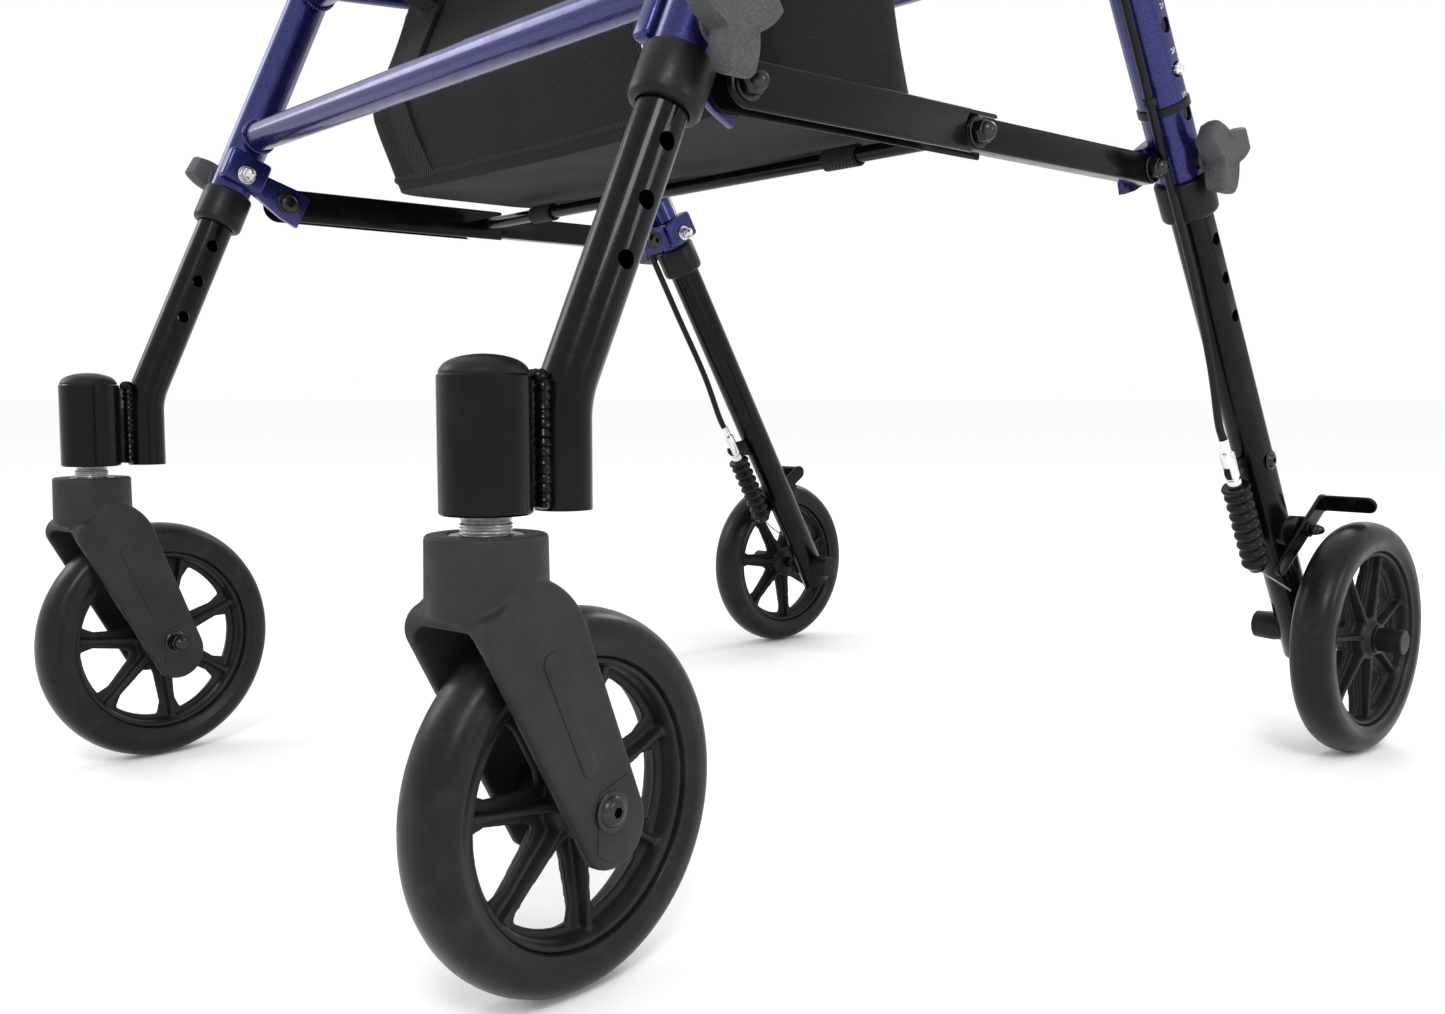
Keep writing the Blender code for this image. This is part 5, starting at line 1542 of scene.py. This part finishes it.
def inflated(obj, pressure, cap):
    """Let the cover swell like stuffed cloth for a few frames, without moving far."""
    rest = [v.co.copy() for v in obj.data.vertices]
    cloth = obj.modifiers.new("cloth", 'CLOTH')
    cloth.settings.quality = 5
    cloth.settings.mass = 0.2
    cloth.settings.use_pressure = True
    cloth.settings.uniform_pressure_force = pressure
    cloth.settings.effector_weights.gravity = 0.0
    scene = bpy.context.scene
    for step in range(1, 13):
        scene.frame_set(step)
    graph = bpy.context.evaluated_depsgraph_get()
    mesh = bpy.data.meshes.new_from_object(obj.evaluated_get(graph))
    obj.modifiers.clear()
    scene.frame_set(1)
    for vert, start in zip(mesh.vertices, rest):
        shift = vert.co - start
        if shift.length > cap:
            vert.co = start + shift.normalized() * cap
    obj.data = mesh
    mesh.shade_smooth()


def build_seat():
    """Seat pad with two stitched channels, its board, and a pull tab on the rear edge."""
    front = front_y(SEAT_Z) + 0.0200
    rear = FOLD_AXIS[0] + 0.090
    low = (-SEAT_HALF_WIDTH, front, SEAT_Z + 0.0075)
    high = (SEAT_HALF_WIDTH, rear, SEAT_Z + 0.0220)
    seams = (front + 0.075, rear - 0.075)
    pad = cushion("seat_pad", low, high, seams, 0.0050)
    inflated(pad, 1.2, 0.0012)
    place(pad, "seat", "vinyl", "seat")
    board = slab("seat_board", ((front + 0.004, SEAT_Z + 0.0004), (rear - 0.004, SEAT_Z + 0.0004),
                                (rear - 0.003, SEAT_Z + 0.0078), (front + 0.003, SEAT_Z + 0.0078)),
                 -SEAT_HALF_WIDTH + 0.006, SEAT_HALF_WIDTH - 0.006)
    place(rounded(board, 0.0020, 3), "seat", "satin")
    stitches = []
    for seam_y in seams:
        path = [Vector((x * 0.002, seam_y, SEAT_Z + 0.0215)) for x in range(-88, 89, 1)]
        stitches += stitch_row(path, Vector((0, 0, 0)), 0.0050, 0.00035)
    place(joined("seat_stitches", *stitches), "seat", "grip")
    tab_points = [Vector((0, rear - 0.006, SEAT_Z + 0.006)), Vector((0, rear + 0.002, SEAT_Z + 0.004)),
                  Vector((0, rear + 0.0025, SEAT_Z - 0.006)), Vector((0, rear - 0.006, SEAT_Z - 0.0022))]
    tab = ribbon("seat_pull", tab_points, [Vector((0, 0.3, 1)), Vector((0, 1, 0.4)), Vector((0, 1, -0.4)),
                                           Vector((0, 0.2, -1))], 0.0120, 0.0012)
    place(tab, "seat", "webbing")


def build_backrest():
    """Bowed bar between the posts, its foam sleeve, and the two bar sockets."""
    inset = TRACK_X - OUTER_R + 0.0004
    y0 = front_y(BACK_Z)
    points = ((-inset, y0, BACK_Z), (-0.205, y0, BACK_Z), (-0.140, y0 - BACK_BOW, BACK_Z),
              (0.140, y0 - BACK_BOW, BACK_Z), (0.205, y0, BACK_Z), (inset, y0, BACK_Z))
    bar = tube("back_bar", points, 0.0070, bend=0.05, sides=36, steps=12)
    place(bar, "frame", "black", "backrest_bar")
    sections = [(-0.0975, 0.0074), (-0.0980, 0.0150), (-0.0966, 0.0185)]
    count = 40
    for k in range(count + 1):
        x = -0.0945 + 0.189 * k / count
        sections.append((x, 0.0212 + 0.0009 * cos(x * 30.0) + 0.00025 * sin(x * 260.0)))
    sections += [(0.0966, 0.0185), (0.0980, 0.0150), (0.0975, 0.0074)]
    pad = turned_ring("back_pad", sections, (0, y0 - BACK_BOW, BACK_Z), (1, 0, 0), sides=56)
    place(pad, "frame", "foam", "backrest_pad")
    socket = turned_ring("back_socket", ((0.0, 0.0072), (0.0, 0.0098), (0.0006, 0.0104), (0.0150, 0.0096),
                                         (0.0160, 0.0088), (0.0160, 0.0072)),
                         (inset, y0, BACK_Z), (-1, 0, 0), sides=48)
    place_pair(socket, "frame", "satin")


# ---------------------------------------------------------------- handles and cables
def build_handles():
    turn = on_front(GRIP_Z)
    end = Vector((TRACK_X, turn.y + 0.1500, GRIP_Z + 0.004))
    post = tube("handle_post", (on_front(0.690), turn, end), HANDLE_R, bend=0.045)
    knob = on_front(HANDLE_KNOB_Z)
    for step in range(1, 3):
        cut(post, side_hole(TRACK_X, knob + FRONT_DIR * step * HOLE_PITCH * 0.8, HOLE_R))
    place_pair(rounded(post, 0.0004, 2), "handle", "black", "handle_tube")
    mouth = on_front(FRONT_TOP_Z)
    ring = turned_ring("post_collar", ((-0.0060, OUTER_R + 0.0002), (-0.0060, OUTER_R + 0.0014),
                                       (0.0006, OUTER_R + 0.0018), (0.0020, OUTER_R + 0.0010),
                                       (0.0024, HANDLE_R + 0.0010), (0.0004, HANDLE_R + 0.0006),
                                       (0.0004, OUTER_R + 0.0002)), mouth, FRONT_DIR, sides=64)
    place_pair(ring, "frame", "satin")
    start = Vector((TRACK_X, turn.y + 0.0440, GRIP_Z + 0.0013))
    stop = Vector((TRACK_X, turn.y + 0.1560, GRIP_Z + 0.0043))
    length = (stop - start).length
    bore = HANDLE_R + 0.0003
    sections = [(0.0, bore), (0.0, 0.0160), (0.0012, 0.0168), (0.0040, 0.0167), (0.0056, 0.0146)]
    for k in range(41):
        x = 0.0070 + (length - 0.0160) * k / 40
        finger = 0.0007 * cos(2 * pi * (x - 0.012) / 0.0220)
        sections.append((x, 0.0150 - finger + 0.0006 * sin(pi * k / 40)))
    sections += [(length - 0.0060, 0.0150), (length - 0.0020, 0.0138), (length, 0.0118), (length, bore)]
    grip = turned_ring("grip_moulding", sections, start, stop - start, sides=64)
    place_pair(grip, "handle", "grip", "grip")
    cap = turned("post_end", ((-0.0040, 0.0100), (0.0, 0.0106), (0.0012, 0.0100), (0.0018, 0.0080)), end,
                 stop - start, sides=40)
    place_pair(cap, "handle", "satin")
    build_levers(turn)


def build_levers(turn):
    """Loop lever with its pivot barrel and bolt, and the bracket that holds it under the grip."""
    pivot = (turn.y + 0.030, GRIP_Z - 0.0220)
    x = TRACK_X
    width = 0.0120
    loop = ((x - width, pivot[0], pivot[1]), (x - width, pivot[0] + 0.020, pivot[1] - 0.016),
            (x - width, pivot[0] + 0.115, pivot[1] - 0.012), (x + width, pivot[0] + 0.115, pivot[1] - 0.012),
            (x + width, pivot[0] + 0.020, pivot[1] - 0.016), (x + width, pivot[0], pivot[1]))
    lever = tube("lever_loop", loop, 0.0033, bend=0.010, sides=28, steps=10)
    hub = turned("hub", ((-width - 0.0040, 0.0050), (-width - 0.0034, 0.0062), (-0.0070, 0.0065),
                         (0.0070, 0.0065), (width + 0.0034, 0.0062), (width + 0.0040, 0.0050)),
                 (x, *pivot), (1, 0, 0), sides=40)
    place_pair(joined("brake_handle", lever, hub), "lever", "satin", "brake_lever")
    outline = tapered_bar((turn.y + 0.0330, GRIP_Z - 0.0085), 0.0062, pivot, 0.0068, steps=14)
    arm = slab("lever_bracket", outline, x - 0.0060, x + 0.0060)
    place_pair(rounded(arm, 0.0010, 3), "handle", "satin")
    pin = socket_bolt("lever_bolt", (x + width + 0.0040, *pivot), (1, 0, 0), 0.0042)
    place_pair(pin, "lever", "dark_steel")


def cable_route():
    """Route of the brake cable from the lever, down the rear tube to the cable stop."""
    turn = on_front(GRIP_Z)
    stop = cable_stop() + REAR_DIR * 0.0236
    front = REAR_OUTER_R + CABLE_R + 0.0016
    beside = Vector((0.004, -front / cos(REAR_LEAN), 0))
    return [Vector((TRACK_X - 0.026, turn.y + 0.024, GRIP_Z - 0.024)),
            Vector((TRACK_X - 0.034, turn.y + 0.010, GRIP_Z - 0.060)),
            Vector((TRACK_X - 0.032, front_y(0.800) + 0.040, 0.800)),
            Vector((TRACK_X - 0.026, front_y(0.720) + 0.050, 0.720)),
            Vector((TRACK_X - 0.012, rear_y(0.640) - 0.020, 0.640)),
            Vector((TRACK_X - 0.001, rear_y(0.560), 0.560)) + beside * 1.15,
            Vector((TRACK_X, rear_y(0.500), 0.500)) + beside,
            Vector((TRACK_X, rear_y(0.440), 0.440)) + beside,
            Vector((TRACK_X, rear_y(0.375), 0.375)) + beside * 1.18,
            Vector((TRACK_X, rear_y(0.310), 0.310)) + beside * 1.20,
            Vector((TRACK_X, rear_y(0.255), 0.255)) + Vector((0.002, -0.0265, 0)),
            stop + REAR_DIR * 0.012,
            stop]


def cable_piece(name, points, low, high):
    """The stretch of cable between two heights, and its mirrored copy, each given its material."""
    chosen = [p for p in points if low <= p.z <= high]
    piece = swept(name, chosen, CABLE_R, sides=20)
    ends = {"left": piece, "right": reflected(piece, name.replace("_left", "_right"))}
    for side, obj in ends.items():
        dress(obj, "boot")
        start, end = chosen[0].copy(), chosen[-1].copy()
        for point in (start, end):
            point.x *= SIDES[side]
            point.y += CENTRE_SHIFT
        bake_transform(obj)
    return ends


def build_cables():
    """Each cable in three stretches: handle to frame, frame to rear tube, rear tube to rear leg."""
    points = smooth_points(cable_route(), 14)
    cable_piece("cable_top_left", points, 0.7600, 1.0)
    middle = cable_piece("cable_mid_left", points, 0.4400, 0.7660)
    cable_piece("cable_low_left", points, 0.0, 0.4450)
    for side, piece in middle.items():
        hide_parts("brake_cable_" + side)
    guides = []
    for z in (0.470, 0.400):
        at = on_rear(z)
        band = turned_ring("band", ((-0.0022, REAR_OUTER_R + 0.0002), (-0.0022, REAR_OUTER_R + 0.0011),
                                    (0.0022, REAR_OUTER_R + 0.0011), (0.0022, REAR_OUTER_R + 0.0002)),
                           at, REAR_DIR, sides=56)
        near = min(points, key=lambda p: abs(p.z - z))
        loop = turned_ring("loop", ((-0.0022, CABLE_R + 0.0002), (-0.0022, CABLE_R + 0.0010),
                                    (0.0022, CABLE_R + 0.0010), (0.0022, CABLE_R + 0.0002)),
                           near, REAR_DIR, sides=28)
        guides += [band, loop]
    place_pair(joined("cable_ties", *guides), "rear_frame", "satin")


# ---------------------------------------------------------------- room, light and camera
def build_stage():
    bpy.ops.mesh.primitive_plane_add(size=400.0, location=(0, 0, -0.0003))
    floor = bpy.context.object
    floor.name = "floor"
    floor.data.materials.append(floor_material())
    world = bpy.data.worlds.new("studio")
    bpy.context.scene.world = world
    world.use_nodes = True
    sky = world.node_tree.nodes["Background"]
    sky.inputs["Color"].default_value = (1.0, 1.0, 1.0, 1.0)
    sky.inputs["Strength"].default_value = 1.0
    bpy.context.scene.view_settings.view_transform = 'Standard'
    lights = (("key", (1.7, -1.5, 2.1), 0.75, 30.0), ("fill", (-1.9, -1.2, 1.4), 0.9, 12.0),
              ("back", (-0.4, 2.2, 1.8), 0.75, 14.0), ("side", (2.2, 0.6, 0.9), 0.5, 8.0))
    for name, at, size, power in lights:
        lamp = bpy.data.lights.new(name, 'AREA')
        lamp.size = size
        lamp.energy = power
        obj = bpy.data.objects.new(name, lamp)
        obj.location = at
        aim = Vector((0, 0, 0.30)) - Vector(at)
        obj.rotation_euler = aim.to_track_quat("-Z", "Y").to_euler()
        bpy.context.scene.collection.objects.link(obj)


def build_camera():
    data = bpy.data.cameras.new("camera")
    data.lens = CAMERA_LENS
    data.sensor_width = 36.0
    data.clip_start = 0.01
    camera = bpy.data.objects.new("camera", data)
    look = Vector((-sin(CAMERA_HEADING) * cos(CAMERA_PITCH), cos(CAMERA_HEADING) * cos(CAMERA_PITCH),
                   -sin(CAMERA_PITCH)))
    camera.location = CAMERA_AT
    camera.rotation_euler = look.to_track_quat("-Z", "Y").to_euler()
    bpy.context.scene.collection.objects.link(camera)
    bpy.context.scene.camera = camera


build_stage()
build_camera()
build_casters()
build_rear_wheels()
build_front_frame()
build_caster_legs()
build_knobs_and_collars()
build_rear_frame()
build_brakes()
build_links()
build_bag()
build_seat()
build_backrest()
build_handles()
build_cables()
